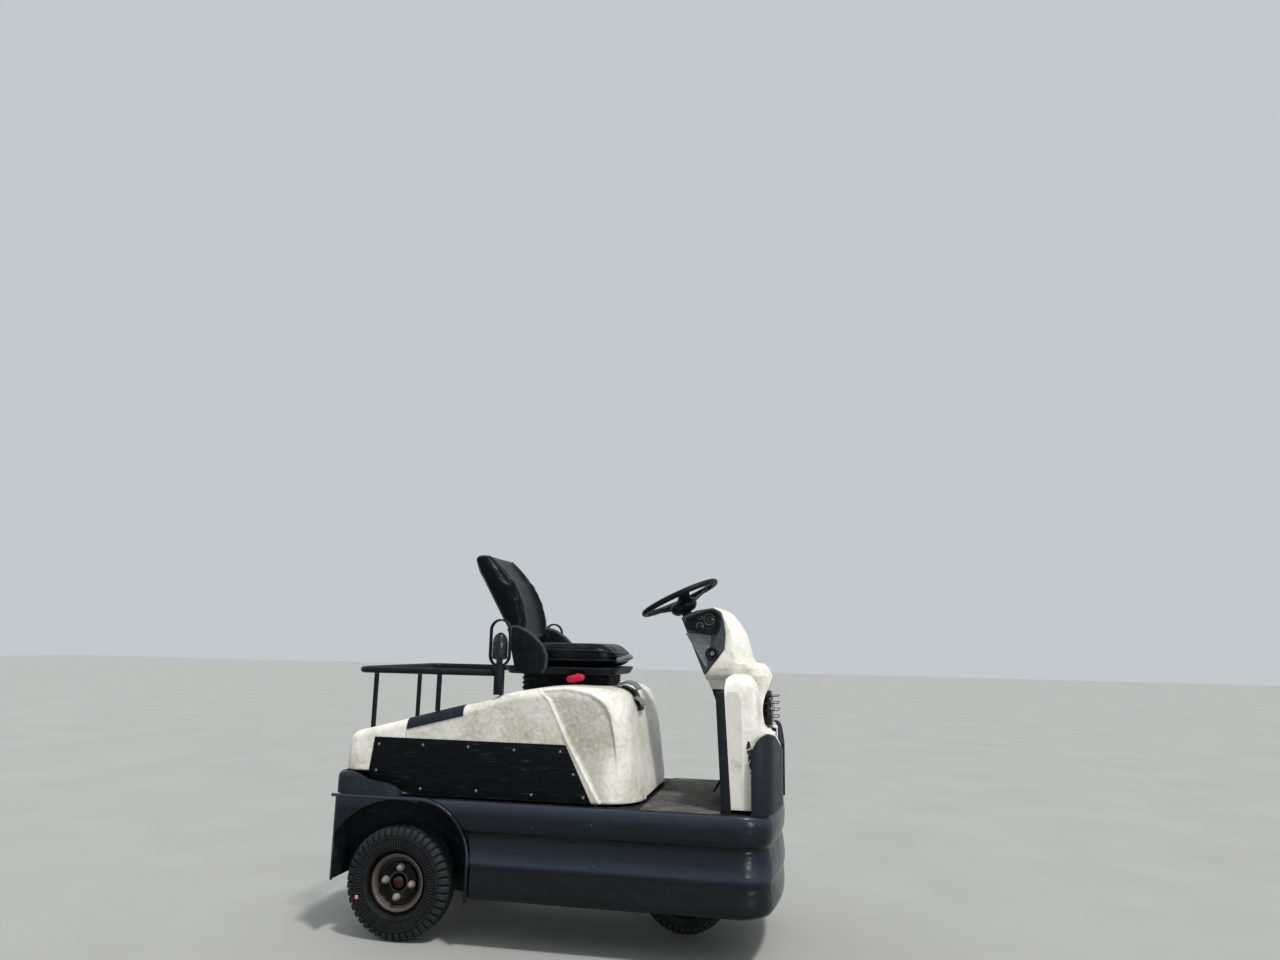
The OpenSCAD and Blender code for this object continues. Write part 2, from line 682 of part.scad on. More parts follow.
// Stations along the hood: [distance from the rear panel, height above the deck, half width
// less than full, radius of the rounded upper edge, 1 where the wall is laid off along x]
hood_stations = [
    [seam_x, 323, 0, 34, 0],
    [548, 386, 0, 34, 0],
    [649, 406, 0, 34, 0],
    [716, 434, 0, 36, 0],
    [800, 456, 0, 40, 0],
    [900, 472, 0, 44, 0],
    [1010, hood_rise, 0, 52, 0],
    [hood_l - 192, hood_rise - 4, 2, 66, 0],
    [hood_l - 130, hood_rise - 14, 10, 90, 0],
    [hood_l - 92, hood_rise - 34, 24, 110, 1],
    [hood_l - 66, hood_rise - 84, 40, 120, 1],
    [hood_l - 46, hood_rise - 170, 60, 120, 1],
    [hood_l - 27, hood_rise - 290, 92, 100, 1],
    [hood_l - 10, hood_rise - 400, 136, 50, 1],
    [hood_l, hood_rise - 462, 200, 6, 1]];

// Stations along the rear deck cover, with the same columns
deck_stations = [
    [22, 130, 34, 16, 1],
    [28, 178, 26, 20, 1],
    [38, 236, 12, 26, 1],
    [52, 256, 4, 30, 1],
    [76, 267, 0, 32, 0],
    [seam_x - seat_gap, 323, 0, 34, 0]];

// Ring of a station: up one side, round both upper edges and down the other
function ring(x, w, z0, z1, r) = concat(
    [[x, -w, z0]],
    [for (a = [180:-15:90]) [x, -w + r + r * cos(a), z1 - r + r * sin(a)]],
    [for (a = [90:-15:0]) [x, w - r + r * cos(a), z1 - r + r * sin(a)]],
    [[x, w, z0]]);
ring_n = 16;

module loft(stations, t, z0, push) {
    n = len(stations);
    pts = [for (s = stations) for (p = ring(
        s[0] - push * t * s[4], hood_half_w - s[2] - t, z0, deck_top + s[1] - t, max(s[3] - t, 2))) p];
    polyhedron(points = pts, faces = concat(
        [[for (j = [ring_n - 1:-1:0]) j]],
        [for (i = [0:n - 2]) for (j = [0:ring_n - 1])
            [i * ring_n + j, i * ring_n + (j + 1) % ring_n,
             (i + 1) * ring_n + (j + 1) % ring_n, (i + 1) * ring_n + j]],
        [[for (j = [0:ring_n - 1]) (n - 1) * ring_n + j]]));
}

// Rib down the side face ahead of the side panel: [distance from the rear panel, height above the deck]
rib_line = [[896, 466], [949, 424], [1026, 271], [1095, 153], [1177, hood_gap]];
rib_w = 15;
rib_t = 4;

module rib_plan() {
    n = len(rib_line);
    translate([0, deck_top]) polygon(concat([for (p = rib_line) p - [rib_w / 2, 0]],
        [for (i = [n - 1:-1:0]) rib_line[i] + [rib_w / 2, 0]]));
}

module hood() {
    color("#dcd9d0") at_rear() difference() {
        union() {
            loft(hood_stations, 0, hood_foot_z, 1);
            intersection() {
                loft(hood_stations, -rib_t, hood_foot_z, 1);
                slab(body_w) rib_plan();
            }
        }
        loft(concat([concat(seam_x - 1, [for (i = [1:4]) hood_stations[0][i]])], hood_stations), hood_t,
            hood_foot_z - 10, 1);
    }
}

module rear_deck_cover() {
    color("#dcd9d0") at_rear() difference() {
        loft(deck_stations, 0, cover_foot_z, -1);
        loft(concat(deck_stations, [concat(seam_x + 1, [for (i = [1:4]) hood_stations[0][i]])]), hood_t,
            cover_foot_z - 10, -1);
    }
}

// Hood side of the hinge: leaves on the cover's rear face with their pins
module hood_hinge() {
    color("#2c2f34") at_rear() for (s = [-1, 1]) {
        slab_at(s * (hinge_y + leaf_w + moving_gap), leaf_w) {
            translate([hinge_x, hinge_z]) circle(r = hinge_r);
            translate([hinge_x - hinge_r, hinge_z])
                square([deck_stations[0][0] - seat_gap - hinge_x + hinge_r, 34]);
        }
        bar_y(hinge_x, hinge_z, hinge_pin_r, s > 0 ? hinge_y - leaf_w : -hinge_y - 1.5 * leaf_w - moving_gap,
            s > 0 ? hinge_y + 1.5 * leaf_w + moving_gap : -hinge_y + leaf_w);
    }
}

// Height of the hood's and the deck cover's upper edge at x
edge_table = concat([for (i = [0:4]) [deck_stations[i][0], deck_stations[i][1]]],
    [for (s = hood_stations) [s[0], s[1]]]);
function edge_z(x) = deck_top + lookup(x, edge_table);

// Outline of the screwed side panel: [distance from the rear panel, height above the deck]
panel_side = [[161, 244], [1028, 242], [1146, hood_gap + 1], [345, hood_gap + 1], [292, 24], [156, 64], [141, 86]];

module side_panel() {
    translate([0, -hood_half_w - panel_t - seat_gap, 0]) rotate([90, 0, 0]) mirror([0, 0, 1])
        linear_extrude(panel_t) polygon([for (p = panel_side) [p[0], deck_top + p[1]]]);
}

module side_panel_right() { color("#131518") at_rear() side_panel(); }
module side_panel_left() { color("#131518") at_rear() left_side() side_panel(); }

rail_y = hood_half_w - 24;
rail_rear_x = 45;
rail_bend_r = 60;
rail_post_r = 11;
post_x = 709;
post_r = 21;

module rail_post(x, y) {
    foot_z = edge_z(x + rail_post_r) + seat_gap;
    translate([x, y, foot_z]) cylinder(h = rail_z - foot_z, r = rail_post_r);
}

module luggage_rail() {
    color("#26292f") at_rear() {
        both_sides() {
            translate([rail_rear_x + rail_bend_r, -rail_y, rail_z]) rotate([0, 90, 0])
                cylinder(h = post_x - rail_rear_x - rail_bend_r - post_r - seat_gap, r = rail_r);
            translate([rail_rear_x + rail_bend_r, -rail_y + rail_bend_r, rail_z]) rotate([0, 0, 180])
                rotate_extrude(angle = 90) translate([rail_bend_r, 0]) circle(r = rail_r, $fn = 32);
            rail_post(434, -rail_y);
            rail_post(rail_rear_x, -235);
        }
        bar_y(rail_rear_x, rail_z, rail_r, -rail_y + rail_bend_r, rail_y - rail_bend_r);
    }
}

// Rear lamps: a domed lamp on each post, in a flat hoop
hoop_z = rail_z + 130;
hoop_r = 48;
hoop_t = 8;
rear_lamp_r = 33;
rear_lamp_z = rail_z + 38;

module hoop_plan(r) { hull() for (z = [-55, 55]) translate([0, z]) circle(r = r); }

module lamp_post() {
    foot_z = edge_z(post_x + post_r) + seat_gap;
    translate([post_x, -rail_y, foot_z]) cylinder(h = rear_lamp_z - seat_gap - foot_z, r = post_r);
    translate([post_x, -rail_y, hoop_z]) rotate([90, 0, 0]) linear_extrude(20, center = true) difference() {
        hoop_plan(hoop_r);
        hoop_plan(hoop_r - hoop_t);
    }
}

module lamp_post_right() { color("#26292f") at_rear() lamp_post(); }
module lamp_post_left() { color("#26292f") at_rear() left_side() lamp_post(); }

module rear_lamp() {
    translate([post_x, -rail_y, rear_lamp_z]) rotate_extrude() polygon([
        [0, 0], [14, 0], [14, 18], [rear_lamp_r, 24], [rear_lamp_r, 92], [rear_lamp_r - 3, 110],
        [rear_lamp_r - 11, 125], [rear_lamp_r - 22, 134], [0, 138]]);
}

module rear_lamp_right() { color("#6b2a2a") at_rear() rear_lamp(); }
module rear_lamp_left() { color("#6b2a2a") at_rear() left_side() rear_lamp(); }

// Seat

// The base follows the hood's upper line
module seat_suspension() {
    xs = [seat_rear_x + 60, 800, 900, 1010, seat_front_x - 90, seat_front_x - 46];
    color("#1d1e21") at_rear() slab(340) polygon(concat(
        [for (x = xs) [x, edge_z(x) + seat_gap]],
        [[seat_front_x - 46, pan_z - seat_gap], [seat_rear_x + 60, pan_z - seat_gap]]));
}

module seat_pan() {
    color("#222428") at_rear() translate([seat_rear_x, -seat_w / 2 - moving_gap, pan_z])
        cube([seat_front_x - seat_rear_x, seat_w + 2 * moving_gap, pan_h]);
}

cushion_r = 34;

module seat_cushion() {
    l = seat_front_x - seat_rear_x - 65;
    w = seat_w / 2 - cushion_r;
    color("#17191c") at_rear() translate([seat_rear_x + 90, 0, cushion_z + seat_gap]) hull()
        for (p = [[cushion_r, w], [l - 110, w], [l - cushion_r, w - 90]], s = [-1, 1], z = [cushion_r, cushion_h - cushion_r])
            translate([p[0], s * p[1], z]) sphere(r = cushion_r, $fn = 20);
}

// Side view of the backrest: [distance from the rear panel, height above the cushion's foot]
back_side = [[700, 0], [690, 110], [676, 170], [627, 252], [573, 344], [523, 429], [500, 480], [504, 505],
    [524, 514], [552, 515], [579, 505], [632, 457], [695, 385], [738, 300], [760, 210], [760, 160],
    [752, cushion_h + moving_gap], [740, cushion_h + moving_gap], [740, 0]];

module seat_backrest() {
    color("#17191c") at_rear() slab(seat_w - 60)
        polygon([for (p = back_side) [p[0], cushion_z + seat_gap + p[1]]]);
}

// Side view of a hip restraint: [distance from the rear panel, height above the cushion's foot]
hip_side = [[693, 155], [706, 168], [726, 174], [764, 161], [813, 130], [853, 91], [874, 47], [871, -6],
    [853, -24], [735, -24], [712, 70]];

module hip_restraint() {
    translate([0, -seat_w / 2 - moving_gap - seat_gap, cushion_z]) rotate([90, 0, 0])
        linear_extrude(26) polygon(hip_side);
}

module hip_restraint_right() { color("#222428") at_rear() hip_restraint(); }
module hip_restraint_left() { color("#222428") at_rear() left_side() hip_restraint(); }

module seat_lever() {
    color("#b02030") at_rear() translate([0, 0, pan_z - seat_gap - 18])
        linear_extrude(18) hull() for (x = [990, 1044]) translate([x, -seat_w / 2 - 4]) circle(r = 16);
}

// The latch's plate lies on the hood's front upper edge
module hood_latch() {
    color("#1d1e21") at_rear() intersection() {
        difference() {
            loft(hood_stations, -9, hood_foot_z, 1);
            loft(hood_stations, -seat_gap, hood_foot_z - 1, 1);
        }
        translate([hood_l - 140, -150, hood_top_z - 110]) cube([170, 90, 200]);
    }
}

// Wheels

// Half section of a tyre on a rim of width rim_w: [radius, distance from the middle plane]
function tyre_half(r, w, seat_r, rim_w) = [
    [seat_r, rim_w / 2 - 21], [seat_r + 4.5, rim_w / 2 - 13], [seat_r + 16.5, rim_w / 2 - 9],
    [seat_r + 17, w * 0.40], [seat_r + 42, w * 0.49], [r - 45, w * 0.5],
    [r - 20, w * 0.47], [r - 6, w * 0.40], [r, w * 0.26]];

module tyre(r, w, seat_r, rim_w) {
    h = tyre_half(r, w, seat_r, rim_w);
    rotate([90, 0, 0]) rotate_extrude($fn = 96)
        polygon(concat(h, [for (i = [len(h) - 1:-1:0]) [h[i][0], -h[i][1]]]));
}

// Section through a rim: barrel with a turned-up flange at each side
module rim_barrel(seat_r, w) {
    half = [[seat_r - 6, w / 2 - 14], [seat_r + 12, w / 2], [seat_r + 16, w / 2 - 3],
        [seat_r + 16, w / 2 - 8], [seat_r + 4, w / 2 - 12], [seat_r - seat_gap, w / 2 - 20]];
    rotate_extrude($fn = 96)
        polygon(concat(half, [for (i = [len(half) - 1:-1:0]) [half[i][0], -half[i][1]]]));
}

rim_seat_r = 101;
rear_rim_w = 88;
front_rim_w = 76;

// Split rim: barrel with flanges, dished disc, hub with a bore and four nuts
module rim(seat_r, w, disc_y, hub_out, hub_in, bore_r) {
    rotate([90, 0, 0]) difference() {
        union() {
            rim_barrel(seat_r, w);
            translate([0, 0, disc_y]) cylinder(h = 8, r = seat_r - 5);
            translate([0, 0, -hub_in]) cylinder(h = hub_in + hub_out, r = 44);
            for (i = [0:3]) rotate([0, 0, 45 + 90 * i]) translate([nut_circle_r, 0, disc_y])
                cylinder(h = 22, r = 11, $fn = 6);
        }
        translate([0, 0, -hub_in - 1]) cylinder(h = hub_in + hub_out - 10, r = bore_r);
    }
}

module rear_rim() {
    // Drawn about the wheel's centre with the outer face towards -Y
    rim(rim_seat_r, rear_rim_w, -10, 26, rear_wheel_y - well_y - 4 - hub_gap, spindle_r + shaft_gap);
}

module rear_rim_right() {
    color("#5a4a3e") at_rear() translate([rear_axle_x, -rear_wheel_y, rear_tyre_r]) rear_rim();
}
module rear_rim_left() {
    color("#5a4a3e") at_rear() left_side() translate([rear_axle_x, -rear_wheel_y, rear_tyre_r]) rear_rim();
}
module rear_tyre_right() {
    color("#1c1d1f") at_rear() translate([rear_axle_x, -rear_wheel_y, rear_tyre_r])
        tyre(rear_tyre_r, rear_tyre_w, rim_seat_r, rear_rim_w);
}
module rear_tyre_left() {
    color("#1c1d1f") at_rear() left_side() translate([rear_axle_x, -rear_wheel_y, rear_tyre_r])
        tyre(rear_tyre_r, rear_tyre_w, rim_seat_r, rear_rim_w);
}

front_axle_r = 14;
fork_in_y = front_tyre_w / 2 + 12;
crown_z = 2 * front_tyre_r + 12;

module front_tyre() {
    color("#1c1d1f") at_rear() translate([front_wheel_x, 0, front_tyre_r])
        tyre(front_tyre_r, front_tyre_w, rim_seat_r, front_rim_w);
}
module front_rim() {
    hub = fork_in_y - 5;
    color("#5a4a3e") at_rear() translate([front_wheel_x, 0, front_tyre_r]) rotate([90, 0, 0])
        difference() {
            union() {
                rim_barrel(rim_seat_r, front_rim_w);
                translate([0, 0, -4]) cylinder(h = 8, r = rim_seat_r - 5);
                translate([0, 0, -hub]) cylinder(h = 2 * hub, r = 34);
            }
            translate([0, 0, -hub - 1]) cylinder(h = 2 * hub + 2, r = front_axle_r + shaft_gap);
        }
}
module front_axle() {
    color("#55575a") at_rear()
        bar_y(front_wheel_x, front_tyre_r, front_axle_r, -fork_in_y - fork_t - 12, fork_in_y + fork_t + 12);
}
module steering_fork() {
    color("#2c2f34") at_rear() difference() {
        union() {
            for (s = [-1, 1]) {
                translate([front_wheel_x - 34, s > 0 ? fork_in_y : -fork_in_y - fork_t, front_tyre_r])
                    cube([68, fork_t, crown_z - front_tyre_r + 4]);
                bar_y(front_wheel_x, front_tyre_r, 34, s > 0 ? fork_in_y : -fork_in_y - fork_t,
                    s > 0 ? fork_in_y + fork_t : -fork_in_y);
            }
            translate([front_wheel_x - 60, -fork_in_y - fork_t, crown_z])
                cube([120, 2 * (fork_in_y + fork_t), 24]);
            translate([front_wheel_x, 0, crown_z]) cylinder(h = deck_z - crown_z - 2, r = kingpin_r);
        }
        bar_y(front_wheel_x, front_tyre_r, front_axle_r + shaft_gap, -fork_in_y - fork_t - 1, fork_in_y + fork_t + 1);
    }
}

chassis_frame();
skirt();
fender_right();
fender_left();
rear_shoulder();
platform_mat();
drive_axle();
traction_motor();
battery_pack();
tow_coupling();
coupling_pin();
front_cowl();
steering_tower();
cowl_lining();
corner_shield_right();
corner_shield_left();
headlamp();
headlamp_guard();
instrument_pod();
gauge_cluster();
steering_column();
pedals();
hood();
rear_deck_cover();
hood_hinge();
side_panel_right();
side_panel_left();
luggage_rail();
lamp_post_right();
lamp_post_left();
rear_lamp_right();
rear_lamp_left();
seat_suspension();
seat_pan();
seat_cushion();
seat_backrest();
hip_restraint_right();
hip_restraint_left();
seat_lever();
hood_latch();
steering_fork();
front_axle();
front_tyre();
front_rim();
rear_tyre_right();
rear_rim_right();
rear_tyre_left();
rear_rim_left();
steering_wheel();
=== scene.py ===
import math
import bpy
import bmesh
import numpy as np
from mathutils import Matrix, Vector


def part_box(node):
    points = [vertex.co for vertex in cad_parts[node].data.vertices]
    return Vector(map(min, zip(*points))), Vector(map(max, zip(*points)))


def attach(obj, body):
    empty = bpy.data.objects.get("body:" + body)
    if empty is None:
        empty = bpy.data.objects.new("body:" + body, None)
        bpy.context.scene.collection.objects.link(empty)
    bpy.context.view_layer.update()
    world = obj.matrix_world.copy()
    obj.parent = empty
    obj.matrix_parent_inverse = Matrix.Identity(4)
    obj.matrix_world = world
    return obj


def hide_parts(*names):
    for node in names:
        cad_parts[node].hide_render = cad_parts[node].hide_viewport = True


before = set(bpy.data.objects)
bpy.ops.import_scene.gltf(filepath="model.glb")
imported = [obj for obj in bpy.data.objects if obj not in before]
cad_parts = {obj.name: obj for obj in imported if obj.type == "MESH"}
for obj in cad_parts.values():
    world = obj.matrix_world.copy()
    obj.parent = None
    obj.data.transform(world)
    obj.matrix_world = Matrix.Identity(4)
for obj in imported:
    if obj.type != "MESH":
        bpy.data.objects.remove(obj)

# The view
# The tug stands on a pale studio floor. A lens of 24.75 mm looks at it from its right, ahead of the
# middle, at 1.25 m above the floor and tilted up, as in the photograph.
scene = bpy.context.scene
for spare in ("Cube", "Light", "Camera"):
    if spare in bpy.data.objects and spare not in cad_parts:
        bpy.data.objects.remove(bpy.data.objects[spare])
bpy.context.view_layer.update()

pitch, yaw, roll = (math.radians(a) for a in (10.55, 11.24, 1.15))
ahead = np.array([-math.sin(yaw) * math.cos(pitch), math.cos(yaw) * math.cos(pitch), math.sin(pitch)])
side = np.array([math.cos(yaw), math.sin(yaw), 0.0])
above = np.cross(side, ahead)
cam_x = side * math.cos(roll) + above * math.sin(roll)
cam_y = above * math.cos(roll) - side * math.sin(roll)
camera_at = Matrix.Translation((1.1655, -4.152, 1.249))
camera = bpy.data.objects.new("camera", bpy.data.cameras.new("camera"))
camera.data.sensor_width = 36.0
camera.data.lens = 24.75
camera.data.clip_end = 200.0
camera.matrix_world = camera_at @ Matrix(np.stack([cam_x, cam_y, -ahead], 1).tolist()).to_4x4()
scene.collection.objects.link(camera)
scene.camera = camera
scene.view_settings.view_transform = "Standard"


def linear(code):
    """sRGB hex code to linear RGBA: each channel c becomes c / 12.92 below 0.04045, else
    ((c + 0.055) / 1.055) ** 2.4."""
    c = np.array([int(code[i:i + 2], 16) for i in (1, 3, 5)]) / 255
    return (*np.where(c < 0.04045, c / 12.92, ((c + 0.055) / 1.055) ** 2.4).tolist(), 1.0)


def add(tree, kind, links=None, stops=(), **settings):
    """Adds one node of this kind, sets its properties, and gives each named or numbered input a value or
    a link. Stops are a colour ramp's [position, hex code] pairs."""
    node = tree.nodes.new("ShaderNode" + kind)
    for key, value in settings.items():
        setattr(node, key, value)
    for key, value in (links or {}).items():
        if isinstance(value, bpy.types.NodeSocket):
            tree.links.new(value, node.inputs[key])
        else:
            node.inputs[key].default_value = value
    if stops:
        bands = node.color_ramp.elements
        while len(bands) < len(stops):
            bands.new(0.5)
        for band, (position, code) in zip(bands, stops):
            band.position = position
            band.color = linear(code)
    return node


def new_material(name, rough=0.5, metal=0.0, coat=0.0, code="#808080", shine=0.5):
    """Empty material with one Principled shader: (material, its tree, the shader, object coordinates)."""
    mat = bpy.data.materials.new(name)
    mat.use_nodes = True
    tree = mat.node_tree
    shader = tree.nodes["Principled BSDF"]
    shader.inputs["Base Color"].default_value = linear(code)
    shader.inputs["Roughness"].default_value = rough
    shader.inputs["Metallic"].default_value = metal
    shader.inputs["Coat Weight"].default_value = coat
    shader.inputs["Specular IOR Level"].default_value = shine
    return mat, tree, shader, add(tree, "TexCoord").outputs["Object"]


# Smooth pale screed: matt, with wide faint blotches
floor_finish, tree, shader, place = new_material("pale_screed", rough=0.85)
blotch = add(tree, "TexNoise", {"Vector": place, "Scale": 1000 / 667, "Detail": 5.0})
tone = add(tree, "ValToRGB", {"Fac": blotch.outputs["Fac"]}, [(0.3, "#8f8f8c"), (0.7, "#959592")])
tree.links.new(tone.outputs[0], shader.inputs["Base Color"])
floor_half = 40.0
corners = [(floor_half * i, floor_half * j, 0) for i, j in ((-1, -1), (1, -1), (1, 1), (-1, 1))]
floor_mesh = bpy.data.meshes.new("floor")
floor_mesh.from_pydata(corners, [], [(0, 1, 2, 3)])
floor_mesh.materials.append(floor_finish)
floor = bpy.data.objects.new("floor", floor_mesh)
scene.collection.objects.link(floor)

# The sky is bright overhead and dim at the horizon, so upper faces read lighter than the sides. The
# camera and glossy rays see an even pale grey instead.
world = bpy.data.worlds.new("studio")
scene.world = world
world.use_nodes = True
tree = world.node_tree
ray = add(tree, "LightPath")
seen = add(tree, "Math", {0: ray.outputs["Is Camera Ray"], 1: ray.outputs["Is Glossy Ray"]},
           operation="MAXIMUM")
height = add(tree, "SeparateXYZ", {0: add(tree, "TexCoord").outputs["Generated"]})
dome = add(tree, "MapRange", {"Value": height.outputs[2], "From Min": -0.1, "From Max": 0.9,
                              "To Min": 0.16, "To Max": 1.15})
lit = add(tree, "Background", {"Color": linear("#eef1f6"), "Strength": dome.outputs[0]})
pale = add(tree, "Background", {"Color": linear("#c4c9cd"), "Strength": 1.0})
mixed = add(tree, "MixShader", {0: seen.outputs[0], 1: lit.outputs[0], 2: pale.outputs[0]})
tree.links.new(mixed.outputs[0], tree.nodes["World Output"].inputs["Surface"])

# Lamps: name, strength, width of the source in degrees, and the direction the light comes from
lamps = (("key", 2.8, 6.0, (0.36, -0.30, 0.88)),
         ("fill", 0.3, 40.0, (-0.7, 0.5, 0.5)),
         ("kicker", 0.8, 12.0, (0.68, -0.72, 0.10)))
for name, power, spread, source in lamps:
    lamp = bpy.data.objects.new(name, bpy.data.lights.new(name, "SUN"))
    lamp.data.energy = power
    lamp.data.angle = math.radians(spread)
    lamp.rotation_euler = Vector(source).to_track_quat("Z", "Y").to_euler()
    scene.collection.objects.link(lamp)

# Chassis
# Welded steel plate frame, box girder and battery tray, sprayed black long ago and dusty since.
# The pieces are the CAD solids; their edges get a small radius, as ground plate has.


def worn(name, clean, dirt, rough, grain_mm, depth_mm, metal=0.0, coat=0.0, cover=0.5, shine=0.12):
    """Worn finish: dirt lies in cloudy patches about 25 grains wide and the surface is grained, so it
    reads used and a little uneven. cover is the dirt's share."""
    mat, tree, shader, place = new_material(name, rough, metal, coat, shine=0.5 if metal else shine)
    patch = add(tree, "TexNoise", {"Vector": place, "Scale": 1000 / (25 * grain_mm), "Detail": 6.0,
                                   "Roughness": 0.65})
    fine = add(tree, "TexNoise", {"Vector": place, "Scale": 1000 / grain_mm, "Detail": 3.0})
    both = add(tree, "Math", {0: patch.outputs["Fac"], 1: 0.75}, operation="MULTIPLY")
    both = add(tree, "Math", {0: fine.outputs["Fac"], 1: 0.25, 2: both.outputs[0]},
               operation="MULTIPLY_ADD")
    tone = add(tree, "ValToRGB", {"Fac": both.outputs[0]},
               [(0.68 - cover * 0.4, clean), (0.86 - cover * 0.4, dirt)])
    tree.links.new(tone.outputs[0], shader.inputs["Base Color"])
    gloss = add(tree, "MapRange", {"Value": both.outputs[0], "From Min": 0.35, "From Max": 0.65,
                                   "To Min": rough - 0.08, "To Max": min(rough + 0.15, 1.0)})
    tree.links.new(gloss.outputs[0], shader.inputs["Roughness"])
    bump = add(tree, "Bump", {"Height": fine.outputs["Fac"], "Distance": depth_mm / 1000, "Strength": 1.0})
    tree.links.new(bump.outputs[0], shader.inputs["Normal"])
    return mat


def dress(finish, *nodes, radius=0.0, angle=40):
    """Gives CAD nodes their finish. Doubled points are welded, edges sharper than the angle get the
    radius in metres, and the rest shades smooth."""
    for name in nodes:
        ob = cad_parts[name]
        ob.data.materials.clear()
        ob.data.materials.append(finish)
        ob.data.polygons.foreach_set("use_smooth", [True] * len(ob.data.polygons))
        weld = ob.modifiers.new("weld", "WELD")
        weld.merge_threshold = 0.00005
        if radius:
            bevel = ob.modifiers.new("bevel", "BEVEL")
            bevel.width = radius
            bevel.segments = 2
            bevel.limit_method = "ANGLE"
            bevel.angle_limit = math.radians(angle)
            bevel.use_clamp_overlap = True
        split = ob.modifiers.new("split", "EDGE_SPLIT")
        split.split_angle = math.radians(angle)


# Sprayed paint, dulled by dust; the axle's oily casting is darkest, and the front axle is bare turned steel
chassis_paint = worn("sprayed_chassis_paint", "#15171a", "#3b3833", 0.55, 1.2, 0.15, cover=0.35)
dress(chassis_paint, "chassis_frame", "hood_hinge", "steering_fork", radius=0.0015)
axle_oily = worn("cast_axle_oily", "#202123", "#4c443a", 0.5, 2.0, 0.4, metal=0.3, cover=0.45)
dress(axle_oily, "drive_axle", radius=0.002)
motor_enamel = worn("motor_enamel", "#1e2125", "#403c37", 0.45, 1.5, 0.1, cover=0.3)
dress(motor_enamel, "traction_motor", radius=0.003)
battery_paint = worn("battery_case_paint", "#26303b", "#45443e", 0.5, 1.5, 0.1, cover=0.35)
dress(battery_paint, "battery_pack", radius=0.004)
dress(worn("turned_axle_steel", "#8b8d90", "#5a5148", 0.4, 1.0, 0.05, metal=0.9), "front_axle", radius=0.001)

# Skirt
# Thick moulded skirt, brushed over many times with dark blue-grey gloss enamel, so it ripples and
# shines. It sweeps one ribbed section along the side, round both corners and over the bowed nose.
sides = ((-1, "right"), (1, "left"))


def measured(node):
    """Lowest and highest corner of a CAD node at rest, in millimetres and rounded to a tenth."""
    return np.round(np.array(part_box(node)) * 1000, 1)


panel_x = measured("chassis_frame")[0][0]


def row(p):
    """Points [from the rear panel, y, z] in millimetres to metres in the row frame, where the rear panel
    stands at panel_x."""
    return (np.asarray(p, float) + [panel_x, 0, 0]) / 1000


def net(x, y, z):
    """Net of points: the three arrays of coordinates are spread to one shape and stacked."""
    return np.stack(np.broadcast_arrays(x, y, z), -1)


def full_turn(steps):
    """Angles at equal steps once round a circle."""
    return np.linspace(0, 2 * math.pi, steps, endpoint=False)


def eased(points, step, soft):
    """Walks a polyline at equal steps of its length in the first two columns, then averages over a window
    `soft` long, so corners become curves; the ends stay where they are."""
    p = np.asarray(points, float)
    s = np.concatenate([[0], np.cumsum(np.hypot(*np.diff(p[:, :2], axis=0).T))])
    t = np.linspace(0, s[-1], int(s[-1] / step) + 1)
    q = np.stack([np.interp(t, s, c) for c in p.T], 1)
    k = max(1, int(soft / step)) // 2
    if not k:
        return q
    longer = np.concatenate([2 * q[0] - q[k:0:-1], q, 2 * q[-1] - q[-2:-k - 2:-1]])
    w = np.hanning(2 * k + 3)[1:-1]
    return np.stack([np.convolve(c, w / w.sum(), "valid") for c in longer.T], 1)


def shaped(name, points, faces, finish, dirt_and_painted_light=None, mend=True):
    """Piece from points in metres and faces. Mending merges doubled points at poles and seams, turns the
    faces outwards and shades them smooth. The optional share per point is kept as an attribute of dirt and
    painted light: painted shade with dirt on the hood, painted highlight with dust on the tyres."""
    mesh = bpy.data.meshes.new(name)
    mesh.from_pydata(points.reshape(-1, 3).tolist(), [], faces)
    if dirt_and_painted_light is not None:
        mesh.attributes.new("dirt_and_painted_light", "FLOAT", "POINT").data.foreach_set("value", dirt_and_painted_light.ravel())
    if mend:
        bm = bmesh.new()
        bm.from_mesh(mesh)
        bmesh.ops.remove_doubles(bm, verts=bm.verts, dist=1e-5)
        bmesh.ops.recalc_face_normals(bm, faces=bm.faces)
        bm.to_mesh(mesh)
        bm.free()
        mesh.polygons.foreach_set("use_smooth", [True] * len(mesh.polygons))
    mesh.materials.append(finish)
    ob = bpy.data.objects.new(name, mesh)
    scene.collection.objects.link(ob)
    return ob


def surface(name, p, finish, wrap_u=False, wrap_v=False, caps=False, dirt_and_painted_light=None):
    """Piece from a net p[u, v] of points: cells become quads (u, v), (u+1, v), (u+1, v+1), (u, v+1);
    wrapping joins the last row or column to the first, and caps closes both ends."""
    n, m = p.shape[:2]
    i = np.arange(n if wrap_u else n - 1)[:, None]
    j = np.arange(m if wrap_v else m - 1)[None, :]
    here, there, over = i * m, (i + 1) % n * m, (j + 1) % m
    quads = net(here + j, there + j, there + over)
    quads = np.concatenate([quads, (here + over)[..., None]], -1).reshape(-1, 4).tolist()
    if caps:
        quads += [list(range(m))[::-1], list(range((n - 1) * m, n * m))]
    return shaped(name, p, quads, finish, dirt_and_painted_light)


def fit(ob, body, slot, *instead):
    """Fixes the piece to its body and lets it stand for CAD nodes. The slot argument is not used."""
    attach(ob, body)
    if instead:
        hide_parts(*instead)


